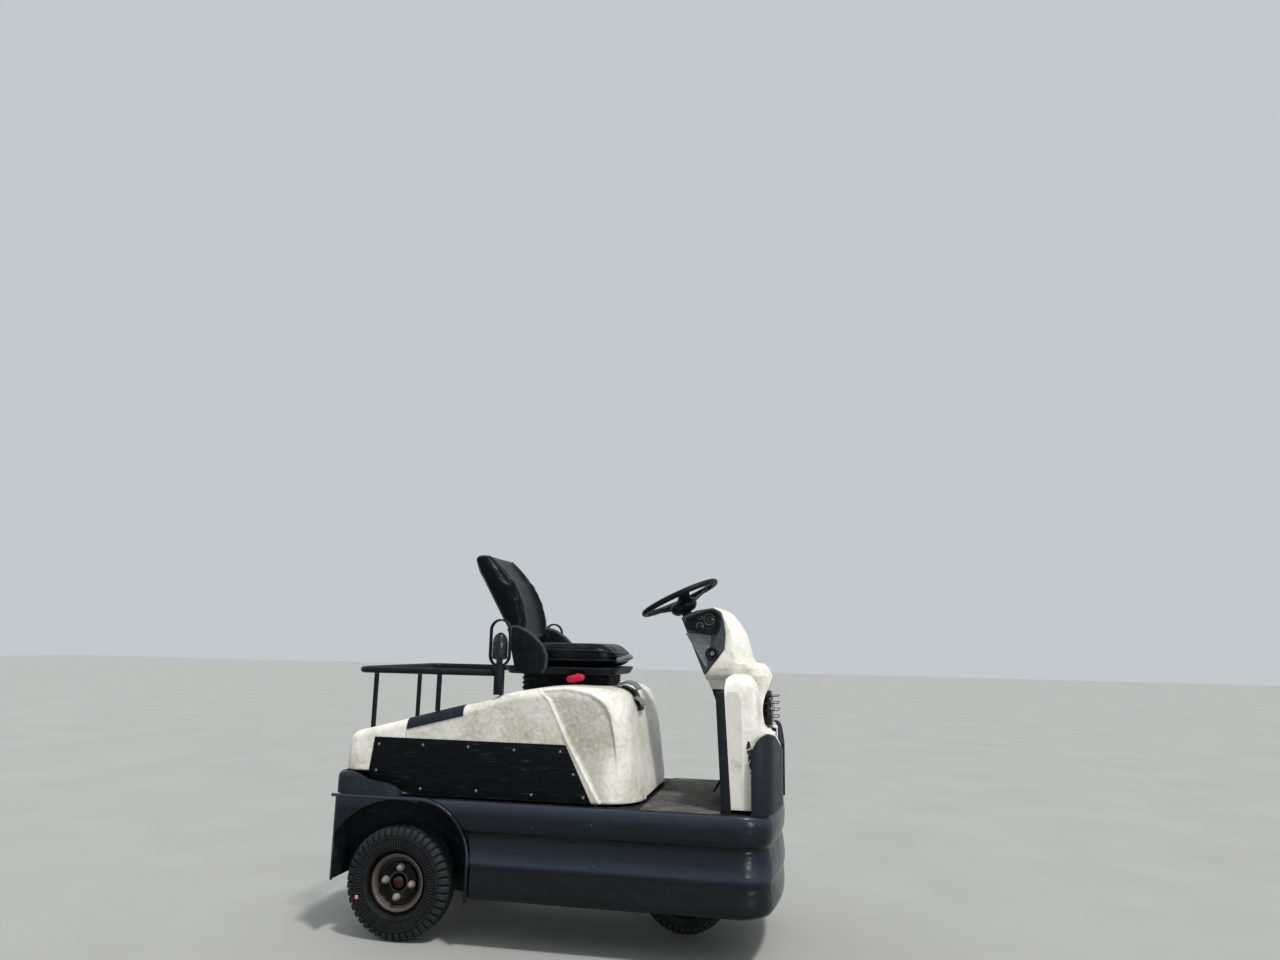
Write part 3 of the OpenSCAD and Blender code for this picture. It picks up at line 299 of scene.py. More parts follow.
# Section from the deck's edge down: [inset from the widest line, height]
skirt_inset, skirt_wall = 2.4, 8.0
skirt_section = eased([[19, 581], [11, 576], [6, 564], [2.5, 544], [1, 515], [3, 484], [9, 466], [18, 456],
                       [19, 446], [14, 432], [8, 404], [1, 350], [1, 340], [8, 324], [9, 310], [6, 272],
                       [4, 240], [6, 217], [14, 203], [28, 195]], 4, 12) + [skirt_inset, 0]
skirt_section = np.concatenate([skirt_section, skirt_section[::-1] + [skirt_wall, 0]])
half_w = measured("skirt")[1][1]
corner_r, bow_r, bow_x = 150.0, 2000.0, -75.0
corner_y = half_w - corner_r
bow_angle = math.asin(corner_y / (bow_r - corner_r))
corner_x = bow_x + (bow_r - corner_r) * math.cos(bow_angle)
# The wheel arch's lip is an arc about this point; the skirt starts just ahead of it
arch_x, arch_z, arch_r = 394.0, 342.0, 245.3


def nose_path(steps, x0):
    """Plan path [x, y, normal angle]: the right side from x0, a corner arc, a bow and the mirror of all."""
    a = np.linspace(-math.pi / 2, -bow_angle, 24)
    arc = np.stack([corner_x + corner_r * np.cos(a), -corner_y + corner_r * np.sin(a), a], 1)
    b = np.linspace(-bow_angle, 0, 20)[1:]
    bow = np.stack([bow_x + bow_r * np.cos(b), bow_r * np.sin(b), b], 1)
    t = np.linspace(x0, corner_x, steps)[:-1]
    straight = np.stack([t, np.full_like(t, -half_w), np.full_like(t, -math.pi / 2)], 1)
    half = np.concatenate([straight, arc, bow])
    return np.concatenate([half, half[-2::-1] * [1, -1, -1]])


x, y, a = (nose_path(90, arch_x)[:, None, k] for k in range(3))
inset, z = skirt_section[None, :, 0], skirt_section[None, :, 1]
start = arch_x + np.sqrt(np.clip(arch_r ** 2 - np.clip(z - arch_z, 0, None) ** 2, 0, None))
along = np.clip((corner_x - x) / (corner_x - arch_x), 0, 1)
on_side = np.abs(np.abs(a) - math.pi / 2) < 1e-6
x = np.where(on_side, corner_x - along * (corner_x - start), x)
skirt_net = net(x - inset * np.cos(a), y - inset * np.sin(a), z)

# Gloss enamel put on by brush: a soft shine broken by ripples, runs and dents. A colour ramp by height paints
# shade, with dust, in the groove and at the foot, and paints a highlight, with scuffs, on the ridge; the
# deck's edge is worn paler by scuffs.
enamel, tree, shader, place = new_material("brushed_enamel_blue_grey", rough=0.24, coat=0.4, shine=0.04)
shader.inputs["Coat Roughness"].default_value = 0.27
drift = add(tree, "Mapping", {"Vector": place, "Scale": (0.35, 0.35, 1.0)})
tone = add(tree, "TexNoise", {"Vector": drift.outputs[0], "Scale": 1000 / 111, "Detail": 6.0,
                              "Roughness": 0.6})
level = add(tree, "SeparateXYZ", {0: place})
level = add(tree, "Math", {0: level.outputs[2], 1: 2.5, 2: -0.475}, operation="MULTIPLY_ADD")
level = add(tree, "Math", {0: tone.outputs["Fac"], 1: 0.03, 2: level.outputs[0]}, operation="MULTIPLY_ADD")
# Painted shade in the groove and at the foot, painted highlight on the ridge, by height
painted_light_and_scuffs = add(tree, "ValToRGB", {"Fac": level.outputs[0]},
              [(0.03, "#0a0d10"), (0.33, "#0d1014"), (0.355, "#15191f"), (0.40, "#323a47"),
               (0.52, "#1b212b"), (0.61, "#101419"), (0.65, "#040506"), (0.69, "#07090b"),
               (0.72, "#0d1218"), (0.86, "#111720"), (0.985, "#333b47")])
brushed = add(tree, "ValToRGB", {"Fac": tone.outputs["Fac"]},
              [(0.3, "#070a10"), (0.55, "#0f141d"), (0.75, "#262e3b")])
both = add(tree, "Mix", {0: 0.3, 6: painted_light_and_scuffs.outputs[0], 7: brushed.outputs[0]}, data_type="RGBA")
tree.links.new(both.outputs[2], shader.inputs["Base Color"])
ripple = add(tree, "TexNoise", {"Vector": drift.outputs[0], "Scale": 1000 / 70, "Detail": 2.5})
bump = add(tree, "Bump", {"Height": ripple.outputs["Fac"], "Distance": 0.010, "Strength": 0.7})
runs = add(tree, "TexNoise", {"Vector": place, "Scale": 1000 / 9, "Detail": 3.0})
bump = add(tree, "Bump", {"Height": runs.outputs["Fac"], "Distance": 0.0006, "Strength": 0.5,
                          "Normal": bump.outputs[0]})
dents = add(tree, "TexNoise", {"Vector": place, "Scale": 1000 / 60, "Detail": 1.0})
bump = add(tree, "Bump", {"Height": dents.outputs["Fac"], "Distance": 0.008, "Strength": 0.6,
                          "Normal": bump.outputs[0]})
tree.links.new(bump.outputs[0], shader.inputs["Normal"])
tree.links.new(bump.outputs[0], shader.inputs["Coat Normal"])
skirt = surface("skirt_moulding", row(skirt_net), enamel, wrap_v=True, caps=True)
fit(skirt, "chassis", "skirt_gloss", "skirt")
dress(enamel, "fender_right", "fender_left", radius=0.002)


def turned(name, profile, centre, axis, finish, steps=48):
    """Turned piece: at each [along the axis, radius] of the profile, in mm, a circle about the axis through
    the centre."""
    axis = np.asarray(axis, float) / np.linalg.norm(axis)
    e1 = np.cross(axis, [0.31, 0.87, 0.38])
    e1 /= np.linalg.norm(e1)
    e2 = np.cross(axis, e1)
    q = np.asarray(profile, float)
    u = full_turn(steps)[:, None, None]
    p = np.asarray(centre, float) + q[None, :, :1] * axis
    return surface(name, row(p + q[None, :, 1:] * (np.cos(u) * e1 + np.sin(u) * e2)), finish, wrap_u=True)


# Dome-head bolts, painted over, hold the skirt to the frame
bolt_line = [[-4, 0], [-4, 9], [1, 9], [3.5, 7], [5, 3], [5.2, 0]]
bolt_places = ((1156, 515), (1166, 356), (906, 494))
bolt_y = half_w - 5.4
for hand, which in sides:
    for k, (bolt_x, bolt_z) in enumerate(bolt_places):
        name = "skirt_bolt_%s_%d" % (which, k)
        bolt = turned(name, bolt_line, (bolt_x, hand * bolt_y, bolt_z), (0, hand, 0), enamel, 20)
        fit(bolt, "chassis", "skirt_gloss")

# Rear shoulder and foot plate
# Dark moulded bumper round the rear of the deck, and a thick rubber mat laid on the deck plate. The two
# pedals reach back over it from the cowl's lining, and their rubber is worn to a matt grey.
bumper_black = worn("moulded_bumper", "#1f2428", "#34373a", 0.42, 1.5, 0.2, cover=0.35)
dress(bumper_black, "rear_shoulder", radius=0.007)
# Trodden rubber: matt, with ribs 12 mm apart that run along the tug, and greyed in wide scuffs
mat_finish, tree, shader, place = new_material("trodden_rubber_mat", rough=0.85)
scuff = add(tree, "TexNoise", {"Vector": place, "Scale": 1000 / 71.4, "Detail": 8.0, "Roughness": 0.7})
tone = add(tree, "ValToRGB", {"Fac": scuff.outputs["Fac"]},
           [(0.3, "#2c2b29"), (0.5, "#45433e"), (0.75, "#67645b")])
tree.links.new(tone.outputs[0], shader.inputs["Base Color"])
ribs = add(tree, "TexWave", {"Vector": place, "Scale": 1000 / 12 / 2 / math.pi, "Distortion": 0.0},
           wave_type="BANDS", bands_direction="Y")
bump = add(tree, "Bump", {"Height": ribs.outputs["Fac"], "Distance": 0.0012, "Strength": 0.6})
bump = add(tree, "Bump", {"Height": scuff.outputs["Fac"], "Distance": 0.002, "Strength": 0.5,
                          "Normal": bump.outputs[0]})
tree.links.new(bump.outputs[0], shader.inputs["Normal"])
dress(mat_finish, "platform_mat", radius=0.001)
dress(worn("pedal_rubber", "#1b1c1e", "#4a4741", 0.8, 1.5, 0.3), "pedals", radius=0.002)

# Coupling
# Three cast jaws one above another on a plate, with a bare forged pin, rubbed bright by drawbars.
# The jaws' rough casting has begun to rust.
jaw_steel = worn("cast_jaw_steel", "#34322f", "#6b4f3a", 0.65, 2.0, 0.5, metal=0.4, cover=0.45)
dress(jaw_steel, "tow_coupling", radius=0.003)
pin_steel = worn("rubbed_pin_steel", "#8d8c88", "#5c4c3e", 0.35, 1.0, 0.1, metal=0.95, cover=0.35)
dress(pin_steel, "coupling_pin", radius=0.001)

# Wheels
# Air-filled industrial tyres with open block treads on split steel rims; the rubber is dusty, and
# the rims' old paint has rusted through. A pink balance spot sits on the right rear sidewall.


def tyre_size(node):
    """Axle's place forward of the rear panel, radius, width and distance from the tug's middle of a tyre,
    in mm, from its CAD box: it stands on the floor, so its axle is as high as its radius."""
    low, high = measured(node)
    r = (low[2] + high[2]) / 2
    return high[0] - r - panel_x, r, high[1] - low[1], (low[1] + high[1]) / 2


rear_x, rear_r, rear_w, rear_y = tyre_size("rear_tyre_left")
front_x, front_r, front_w, front_y = tyre_size("front_tyre")


def off_axle(tree, place, x, z):
    """Distance in metres from a wheel's axle, which crosses the tug at x, z in mm."""
    away = add(tree, "VectorMath", {0: place, 1: row([x, 0, z]).tolist()}, operation="SUBTRACT")
    away = add(tree, "VectorMath", {0: away.outputs[0], 1: (1.0, 0.0, 1.0)}, operation="MULTIPLY")
    return add(tree, "VectorMath", {0: away.outputs[0]}, operation="LENGTH").outputs["Value"]


def tyre_finish(name, x, r):
    """Dusty rubber of a tyre of radius r with its axle at x, in mm: painted shade blackens the gap by the
    rim, the sidewall is dull with two faint paler rings of painted highlight, and the tread is worn paler."""
    mat, tree, shader, place = new_material(name, rough=0.6, shine=0.1)
    dust = add(tree, "TexNoise", {"Vector": place, "Scale": 1000 / 29.4, "Detail": 9.0, "Roughness": 0.75})
    share = add(tree, "Math", {0: off_axle(tree, place, x, r), 1: 1000 / r}, operation="MULTIPLY")
    # Painted shade near the rim, painted highlight in two faint sidewall rings
    tone = add(tree, "ValToRGB", {"Fac": share.outputs[0]},
               [(0.0, "#030304"), (0.54, "#040405"), (0.585, "#0f1011"), (0.64, "#08090a"),
                (0.76, "#0a0b0c"), (0.82, "#0d0e10"), (0.9, "#0b0c0d"), (1.0, "#1d1f20")])
    grey = add(tree, "MapRange", {"Value": dust.outputs["Fac"], "From Min": 0.5, "From Max": 0.8,
                                  "To Max": 0.3})
    coloured = add(tree, "Mix", {0: grey.outputs[0], 6: tone.outputs[0], 7: linear("#343533")},
                   data_type="RGBA")
    # The moulded ridges and block edges get a painted highlight, broken up by the dust; block_tyre hands over
    # where they are
    crest = add(tree, "Attribute", attribute_name="dirt_and_painted_light")
    crest_highlight_and_dust = add(tree, "Math", {0: crest.outputs["Fac"], 1: dust.outputs["Fac"]}, operation="MULTIPLY")
    coloured = add(tree, "Mix", {0: crest_highlight_and_dust.outputs[0], 6: coloured.outputs[2], 7: linear("#6a6c6b")},
                   data_type="RGBA")
    tree.links.new(coloured.outputs[2], shader.inputs["Base Color"])
    pores = add(tree, "TexNoise", {"Vector": place, "Scale": 1000 / 3.5, "Detail": 4.0})
    bump = add(tree, "Bump", {"Height": pores.outputs["Fac"], "Distance": 0.001, "Strength": 0.7})
    tree.links.new(bump.outputs[0], shader.inputs["Normal"])
    return mat


rear_rubber = tyre_finish("dusty_rear_tyre_rubber", rear_x, rear_r)
front_rubber = tyre_finish("dusty_front_tyre_rubber", front_x, front_r)


def block_tyre(name, x, y, r, w, lugs, per_lug, rubber):
    """Tyre: a rounded half section [radius, distance from the middle] and its mirror turned about the axle.
    Shoulder grooves cut in where cos(lugs * angle) is low, shifted half a lug on the other side, a zigzag
    groove runs near the middle, and fine ridges and three rings stand on the sidewall."""
    seat, tread = 101.0, r - 37.0
    half = [[seat, 23], [seat + 4.5, 31], [seat + 16.5, 35], [seat + 24, 36], [seat + 27, w * 0.40],
            [seat + 33, w * 0.45], [seat + 42, w * 0.49], [r - 45, w * 0.5], [r - 22, w * 0.475],
            [r - 7, w * 0.41], [r, w * 0.27], [r, 0]]
    section = eased(half, 3.0, 9.0)
    section = np.concatenate([section, (section * [1, -1])[-2::-1]])
    u = full_turn(lugs * per_lug)[:, None]
    rad, off = section[None, :, 0], section[None, :, 1]
    away = np.abs(off)
    edge = np.clip((rad - tread) / 5, 0, 1)
    outer = np.clip((away - 0.2 * w) / 5, 0, 1)
    cut = np.clip((-np.cos(lugs * u + np.where(off > 0, 0, math.pi) + 0.02 * away) - 0.62) / 0.2, 0, 1)
    zigzag = np.clip(1 - np.abs(away - 0.17 * w - 2.5 * np.sin(lugs * u)) / 4.0, 0, 1)
    ridge = np.clip(1.6 - np.abs(rad - (r - 66)) / 12, 0, 1) * 1.3 * np.cos(2 * lugs * u)
    ring = sum(high * np.exp(-((rad - at) / wide) ** 2)
               for high, at, wide in ((1.5, seat + 40, 2.5), (1.0, seat + 49, 2.0), (1.5, r - 44, 3.0)))
    ring = ring * (away > 0.4 * w)
    depth = 9.0 * edge * outer * cut + 7.0 * edge * zigzag * (away < 0.3 * w)
    rad = rad - depth
    off = off + np.sign(off) * (np.where(rad < tread, ridge + ring, 0) - 0.25 * depth)
    lip = edge * np.exp(-((cut - 0.12) / 0.1) ** 2) * outer
    # Share of painted highlight on the ridge and ring crests and on the block edges
    crest = np.clip(0.22 * ridge + 0.12 * ring, 0, 0.5) * (rad < tread) + 0.9 * lip
    p = net(x + rad * np.sin(u), y + off, r + rad * np.cos(u))
    return surface(name, row(p), rubber, wrap_u=True, wrap_v=True, dirt_and_painted_light=crest)


for hand, which in sides:
    tyre = block_tyre("tread_tyre_" + which, rear_x, hand * rear_y, rear_r, rear_w, 44, 11, rear_rubber)
    fit(tyre, "rear_wheel_" + which, "tyre_rubber", "rear_tyre_" + which)
tyre = block_tyre("tread_tyre_front", front_x, front_y, front_r, front_w, 40, 10, front_rubber)
fit(tyre, "front_wheel", "tyre_rubber", "front_tyre")


def rim_finish(name, x, z):
    """Rim paint about an axle at x, z in mm: grey-beige on the flange with thin pale rings of painted
    highlight on its rolled edges, rust where it meets the dish, and a dish dark with oil and with painted
    shade of its hollow, with a rusty hub; the distance from the axle picks the paint, and noise frays its
    edges."""
    mat, tree, shader, place = new_material(name, rough=0.62)
    flake = add(tree, "TexNoise", {"Vector": place, "Scale": 1000 / 29.4, "Detail": 9.0, "Roughness": 0.72})
    frayed = add(tree, "Math", {0: flake.outputs["Fac"], 1: 0.012, 2: off_axle(tree, place, x, z)},
                 operation="MULTIPLY_ADD")
    share = add(tree, "Math", {0: frayed.outputs[0], 1: 7.0}, operation="MULTIPLY")
    # Pale bands on the flange are painted highlight; the dish's dark is partly painted shade
    band = add(tree, "ValToRGB", {"Fac": share.outputs[0]},
               [(0.0, "#3f2019"), (0.18, "#33201a"), (0.30, "#141312"), (0.66, "#121110"),
                (0.74, "#2e1b15"), (0.77, "#25201c"), (0.785, "#5d574d"), (0.80, "#2b2723"),
                (0.825, "#39342e"), (0.84, "#6c665b"), (0.86, "#35302b"), (0.89, "#46413a"),
                (0.905, "#7a7468"), (0.925, "#4d483f"), (0.96, "#8b8577")])
    stain = add(tree, "MapRange", {"Value": flake.outputs["Fac"], "From Min": 0.55, "From Max": 0.66,
                                   "To Max": 0.8})
    coloured = add(tree, "Mix", {0: stain.outputs[0], 6: band.outputs[0], 7: linear("#3a241b")},
                   data_type="RGBA")
    tree.links.new(coloured.outputs[2], shader.inputs["Base Color"])
    bump = add(tree, "Bump", {"Height": flake.outputs["Fac"], "Distance": 0.0012, "Strength": 0.6})
    tree.links.new(bump.outputs[0], shader.inputs["Normal"])
    return mat


dress(rim_finish("rusted_rear_rim", rear_x, rear_r), "rear_rim_right", "rear_rim_left", radius=0.0012)
dress(rim_finish("rusted_front_rim", front_x, front_r), "front_rim", radius=0.0012)

# The hub stands out of the dish, its studs capped by scuffed cone nuts, with a rusty bearing cap in the
# middle. Each outline is [out from the hub's face, radius].
nut_steel = worn("scuffed_wheel_nut", "#777872", "#2b2925", 0.5, 3.0, 0.3, metal=0.2, cover=0.4)
hub_black = worn("oily_cast_hub", "#0d0d0d", "#3b3833", 0.6, 2.0, 0.5, cover=0.45)
cap_rust = worn("rusty_bearing_cap", "#2a1613", "#4d3b35", 0.7, 1.5, 0.4)
hub_line = [[-8, 74], [16, 78], [22, 76], [24, 72], [24, 40], [28, 36], [28, 0]]
dome_line = [[26, 24], [34, 24], [40, 20], [43, 12], [44, 0]]
nut_line = [[0, 16], [11, 16], [15, 13], [26, 10.5], [30, 7], [31, 0]]
hub_y, nut_y, stud_r, first_stud = rear_y - 2, rear_y + 20, 60, 175
for hand, which in sides:
    body, out = "rear_wheel_" + which, (0, hand, 0)
    hub_at = (rear_x, hand * hub_y, rear_r)
    fit(turned("hub_face_" + which, hub_line, hub_at, out, hub_black, 64), body, "rim_rust")
    fit(turned("bearing_cap_" + which, dome_line, hub_at, out, cap_rust, 40), body, "rim_rust")
    for k in range(4):
        turn = math.radians(first_stud + 90 * k)
        nut_at = (rear_x + stud_r * math.cos(turn), hand * nut_y, rear_r + stud_r * math.sin(turn))
        nut = turned("wheel_nut_%s_%d" % (which, k), nut_line, nut_at, out, nut_steel, 24)
        fit(nut, body, "rim_rust")
# A dab of pink chalk paint, matt, on the bulge of the sidewall
spot_pink = worn("chalk_pink_spot", "#c98a94", "#a35e6a", 0.8, 1.0, 0.05)
spot_line = [[0, 0], [0, 9], [1.5, 7.5], [2.2, 0]]
spot = turned("balance_spot", spot_line, (137, -453.6, 168), (0, -1, 0), spot_pink, 20)
fit(spot, "rear_wheel_right", "tyre_rubber")

# Front cowl
# Off-white glass-fibre mouldings: two side shells and the tower between them. Their gelcoat is dull,
# grimy and scuffed, with dark chips where the shells were knocked. A textured dark lining faces the driver.
gelcoat, tree, shader, place = new_material("grimy_gelcoat_off_white", rough=0.36, shine=0.45)
cloud = add(tree, "TexNoise", {"Vector": place, "Scale": 1000 / 200, "Detail": 7.0, "Roughness": 0.66})
speck = add(tree, "TexNoise", {"Vector": place, "Scale": 1000 / 18.2, "Detail": 8.0, "Roughness": 0.75})
dirty = add(tree, "Math", {0: cloud.outputs["Fac"], 1: 0.6}, operation="MULTIPLY")
dirty = add(tree, "Math", {0: speck.outputs["Fac"], 1: 0.4, 2: dirty.outputs[0]}, operation="MULTIPLY_ADD")
# The tower is washed by rain and hands: it keeps half the dirt of the hood
forward = add(tree, "SeparateXYZ", {0: place})
washed = add(tree, "MapRange", {"Value": forward.outputs[0], "From Min": 0.65, "From Max": 0.75,
                                "To Max": -0.07})
dirty = add(tree, "Math", {0: dirty.outputs[0], 1: washed.outputs[0]}, operation="ADD")
skin = add(tree, "ValToRGB", {"Fac": dirty.outputs[0]},
           [(0.34, "#e8e7e1"), (0.47, "#d8d6cb"), (0.56, "#c3bfb0"), (0.68, "#958f80")])
# Scrapes run long and slanting
scrape = add(tree, "Mapping", {"Vector": place, "Scale": (1.0, 1.0, 7.0), "Rotation": (0.0, 0.35, 0.0)})
scratch = add(tree, "TexNoise", {"Vector": scrape.outputs[0], "Scale": 1000 / 111, "Detail": 9.0,
                                 "Roughness": 0.8})
mark = add(tree, "MapRange", {"Value": scratch.outputs["Fac"], "From Min": 0.66, "From Max": 0.72,
                              "To Max": 0.55})
skin = add(tree, "Mix", {0: mark.outputs[0], 6: skin.outputs[0], 7: linear("#77736a")}, data_type="RGBA")
# The hood's recessed field carries painted shade with its dirt, and the side behind the rib and the foot are
# darkened too, by an attribute, 0 where a piece has none
painted_shade_and_dirt = add(tree, "Attribute", attribute_name="dirt_and_painted_light")
painted_shade_and_dirt = add(tree, "Math", {0: painted_shade_and_dirt.outputs["Fac"], 1: speck.outputs["Fac"]}, operation="MULTIPLY")
skin = add(tree, "Mix", {0: painted_shade_and_dirt.outputs[0], 6: skin.outputs[2], 7: linear("#7b766b")}, data_type="RGBA")
tree.links.new(skin.outputs[2], shader.inputs["Base Color"])
bump = add(tree, "Bump", {"Height": speck.outputs["Fac"], "Distance": 0.0012, "Strength": 0.5})
wrinkle = add(tree, "TexNoise", {"Vector": place, "Scale": 1000 / 58.8, "Detail": 3.0, "Distortion": 1.2})
bump = add(tree, "Bump", {"Height": wrinkle.outputs["Fac"], "Distance": 0.008, "Strength": 0.4,
                          "Normal": bump.outputs[0]})
tree.links.new(bump.outputs[0], shader.inputs["Normal"])
dress(gelcoat, "front_cowl", radius=0.005, angle=32)

# The tower stands on the deck, and its front is nose_gap mm behind the tip of the nose
nose_gap = 6
deck, nose = measured("platform_mat")[0][2], measured("steering_tower")[1][0] - panel_x + nose_gap
# Stations up the tower: height above the deck, driver side and front behind the nose, half width, depth of
# the round front. The driver side leans forward a little to a height of 474.
lean = 197 + 0.061 * np.array([0, 180, 242, 311, 400, 474])
tower_line = [[0.3, lean[0], nose_gap, 112, 70], [180, lean[1], nose_gap, 112, 70],
              [242, lean[2], 9, 112, 70], [311, lean[3], 30, 112, 72],
              [400, lean[4], 34, 114, 74], [474, lean[5], 37, 120, 76],
              [475, 314, 37, 120, 76], [514, 330, 43, 132, 80], [516, 338, 44, 133, 80],
              [537, 342, 49, 146, 84], [568, 315, 62, 156, 88], [588, 300, 84, 158, 90],
              [592, 296, 118, 159, 92], [612, 280, 131, 160, 92], [648, 254, 141, 160, 90],
              [714, 249, 160, 160, 72], [771, 258, 193, 160, 56], [815, 272, 232, 154, 36],
              [831, 300, 268, 148, 28], [837, 308, 292, 140, 14]]


def tower_skin(corner_r=10):
    """Rings up the tower: a flat driver side with rounded corners, straight flanks and a front that is half
    an ellipse."""
    h, rear, front, w, depth = (eased(tower_line, 4, 6)[:, None, k] for k in range(5))
    a = np.linspace(0, math.pi / 2, 6)[None, :]
    e = np.linspace(-math.pi / 2, math.pi / 2, 41)[None, :]
    rear_at, front_at = nose - rear, nose - front
    corner = net(rear_at + corner_r * (1 - np.cos(a)), -w + corner_r * (1 - np.sin(a)), deck + h)
    bow = net(front_at - depth * (1 - np.cos(e)), w * np.sin(e), deck + h)
    return np.concatenate([corner, bow, corner[:, ::-1] * [1, -1, 1]], 1)


def applied(ob):
    """A new mesh of the piece as its modifiers leave it."""
    return bpy.data.meshes.new_from_object(ob.evaluated_get(bpy.context.evaluated_depsgraph_get()))


tower = surface("tower_moulding", row(tower_skin()), gelcoat, wrap_v=True, caps=True)
# The lamp's bucket is bored into the nose from the front, and its mouth flares so the lamp shows from both
# sides
lamp_at = (nose - 122, 0, deck + 388)
bucket_line = [[0, 0], [0, 90], [22, 92], [46, 122], [80, 146], [140, 190], [140, 0]]
cutter = turned("bucket_cutter", bucket_line, lamp_at, (1, 0, 0), gelcoat, 96)
bore = tower.modifiers.new("bore", "BOOLEAN")
bore.object = cutter
bore.operation = "DIFFERENCE"
bore.solver = "EXACT"
bpy.context.view_layer.update()
bored = applied(tower)
tower.modifiers.clear()
tower.data = bored
bpy.data.objects.remove(cutter)
split = tower.modifiers.new("split", "EDGE_SPLIT")
split.split_angle = math.radians(40)
fit(tower, "chassis", "cover_white", "steering_tower")

# Dark satin mouldings: the lining is textured and matt, the guards at the corners catch more light
lining_abs = worn("textured_lining", "#1a1f24", "#30353a", 0.6, 1.5, 0.25, cover=0.3)
dress(lining_abs, "cowl_lining", radius=0.003)
guard_abs = worn("satin_guard_moulding", "#1d2227", "#2c3136", 0.42, 1.2, 0.15, cover=0.35)
dress(guard_abs, "corner_shield_right", "corner_shield_left", radius=0.008, angle=35)


shell_x, shell_corner = 1793, 69
shell_mid = measured("front_cowl")[1][1] - shell_corner


def shell_y(x, hand, proud):
    """The side shells' outer face at x: flat as far as shell_x, then an arc of radius shell_corner about
    (shell_x, shell_mid). proud is how far the points stand off it."""
    round_off = np.clip(x - shell_x, 0, 60)
    return hand * (shell_mid + np.sqrt((shell_corner + proud) ** 2 - round_off ** 2))


# A greyer field on each shell beside the lining, as [height, rear edge, front edge], and dark chips where
# luggage has struck the shell by the guard, as [place forward, height, half width, half height]
field_grey = worn("dulled_gelcoat", "#cfcdc4", "#a8a498", 0.5, 2.0, 0.3, cover=0.4)
bare_fibre = worn("bare_chipped_fibre", "#2b2c2b", "#57544c", 0.8, 1.0, 0.3)
field_line = [[606, 1727, 1770], [872, 1710, 1768], [1030, 1701, 1763], [1052, 1702, 1758],
              [1061, 1710, 1745]]
chips = np.array([[1794, 852, 8, 15], [1802, 824, 14, 13], [1800, 806, 9, 12], [1807, 778, 10, 24],
                  [1794, 792, 3, 4], [1809, 706, 6, 17], [1787, 838, 3, 4], [1808, 742, 5, 12]], float)
field_z, field_rear, field_front = (eased(field_line, 12, 24)[:, None, k] for k in range(3))
field_x = field_rear + (field_front - field_rear) * np.linspace(0, 1, 16)[None, :]
chip_x, chip_z, chip_w, chip_h = (chips[:, k:k + 1] for k in range(4))
chip_edge = 18
u = full_turn(chip_edge)[None, :]
ragged = 1 + 0.12 * np.sin(3 * u + chip_x) + 0.08 * np.sin(5 * u + chip_z)
edge_x, edge_z = chip_x + chip_w * ragged * np.cos(u), chip_z + chip_h * ragged * np.sin(u)
first = (chip_edge + 1) * np.arange(len(chips))[:, None]
k = np.arange(chip_edge)[None, :]
fans = net(first + k, first + (k + 1) % chip_edge, first + chip_edge).reshape(-1, 3)
for hand, which in sides:
    patch = row(net(field_x, shell_y(field_x, hand, 0.5), field_z))
    fit(surface("shell_field_" + which, patch, field_grey), "chassis", "cover_white")
    rim = net(edge_x, shell_y(edge_x, hand, 0.6), edge_z)
    core = net(chip_x, shell_y(chip_x, hand, 0.6), chip_z)
    outward = (fans if hand < 0 else fans[:, ::-1]).tolist()
    spots = row(np.concatenate([rim, core], 1))
    fit(shaped("shell_chips_" + which, spots, outward, bare_fibre, mend=False), "chassis", "cover_white")

# Headlamp
# Black pressed shell with a clear pressed-glass lens and a wire guard, sunk in the tower's bucket.
# The enamel is glossy, and the lens is fluted every 9 mm over a silvered bowl, so it glints.
lamp_enamel = worn("black_lamp_enamel", "#131417", "#2b2b2b", 0.22, 1.5, 0.05, coat=0.5, cover=0.3)
dress(lamp_enamel, "headlamp", radius=0.002)
dress(worn("guard_wire_black", "#17181b", "#3a3835", 0.4, 1.0, 0.05), "headlamp_guard")
lens_glass, tree, shader, place = new_material("pressed_lens_glass", rough=0.08, metal=0.6, coat=1.0,
                                               code="#6d757a")
flutes = add(tree, "TexWave", {"Vector": place, "Scale": 1000 / 9 / 2 / math.pi}, wave_type="BANDS",
             bands_direction="Y")
bump = add(tree, "Bump", {"Height": flutes.outputs["Fac"], "Distance": 0.0015, "Strength": 0.8})
tree.links.new(bump.outputs[0], shader.inputs["Normal"])
lens_line = [[0, 72], [2, 71], [6, 60], [9, 40], [11, 20], [11.6, 0], [-2, 0], [-2, 72], [0, 72]]
lens_at = (lamp_at[0] + 73, 0, lamp_at[2])
fit(turned("lamp_lens", lens_line, lens_at, (1, 0, 0), lens_glass, 64), "chassis", "lamp_black")

# Instrument pod
# Grey textured ABS housing, screwed to the tower's driver side, with a black binnacle and a key switch.
# The grey is matt and grained; the blacks are a little glossier, and the gauges lie behind clear covers.
pod_abs = worn("textured_grey_abs", "#3d4246", "#565a5e", 0.55, 1.2, 0.2, cover=0.4)
dress(pod_abs, "instrument_pod", radius=0.007, angle=30)
binnacle_black = worn("moulded_black_binnacle", "#0d0f12", "#1e2023", 0.38, 1.2, 0.12)
dress(binnacle_black, "gauge_cluster", radius=0.004)
dress(worn("column_shroud", "#101215", "#242629", 0.5, 1.2, 0.12), "steering_column", radius=0.003)
black_abs = worn("black_abs_switch", "#141518", "#303236", 0.4, 1.0, 0.08)
zinc = worn("plated_zinc", "#72736e", "#55524b", 0.4, 1.0, 0.06, metal=0.8, cover=0.4)
gauge_face = worn("gauge_face_print", "#0b0d0f", "#3c4042", 0.3, 4.0, 0.05, coat=0.6, cover=0.3)
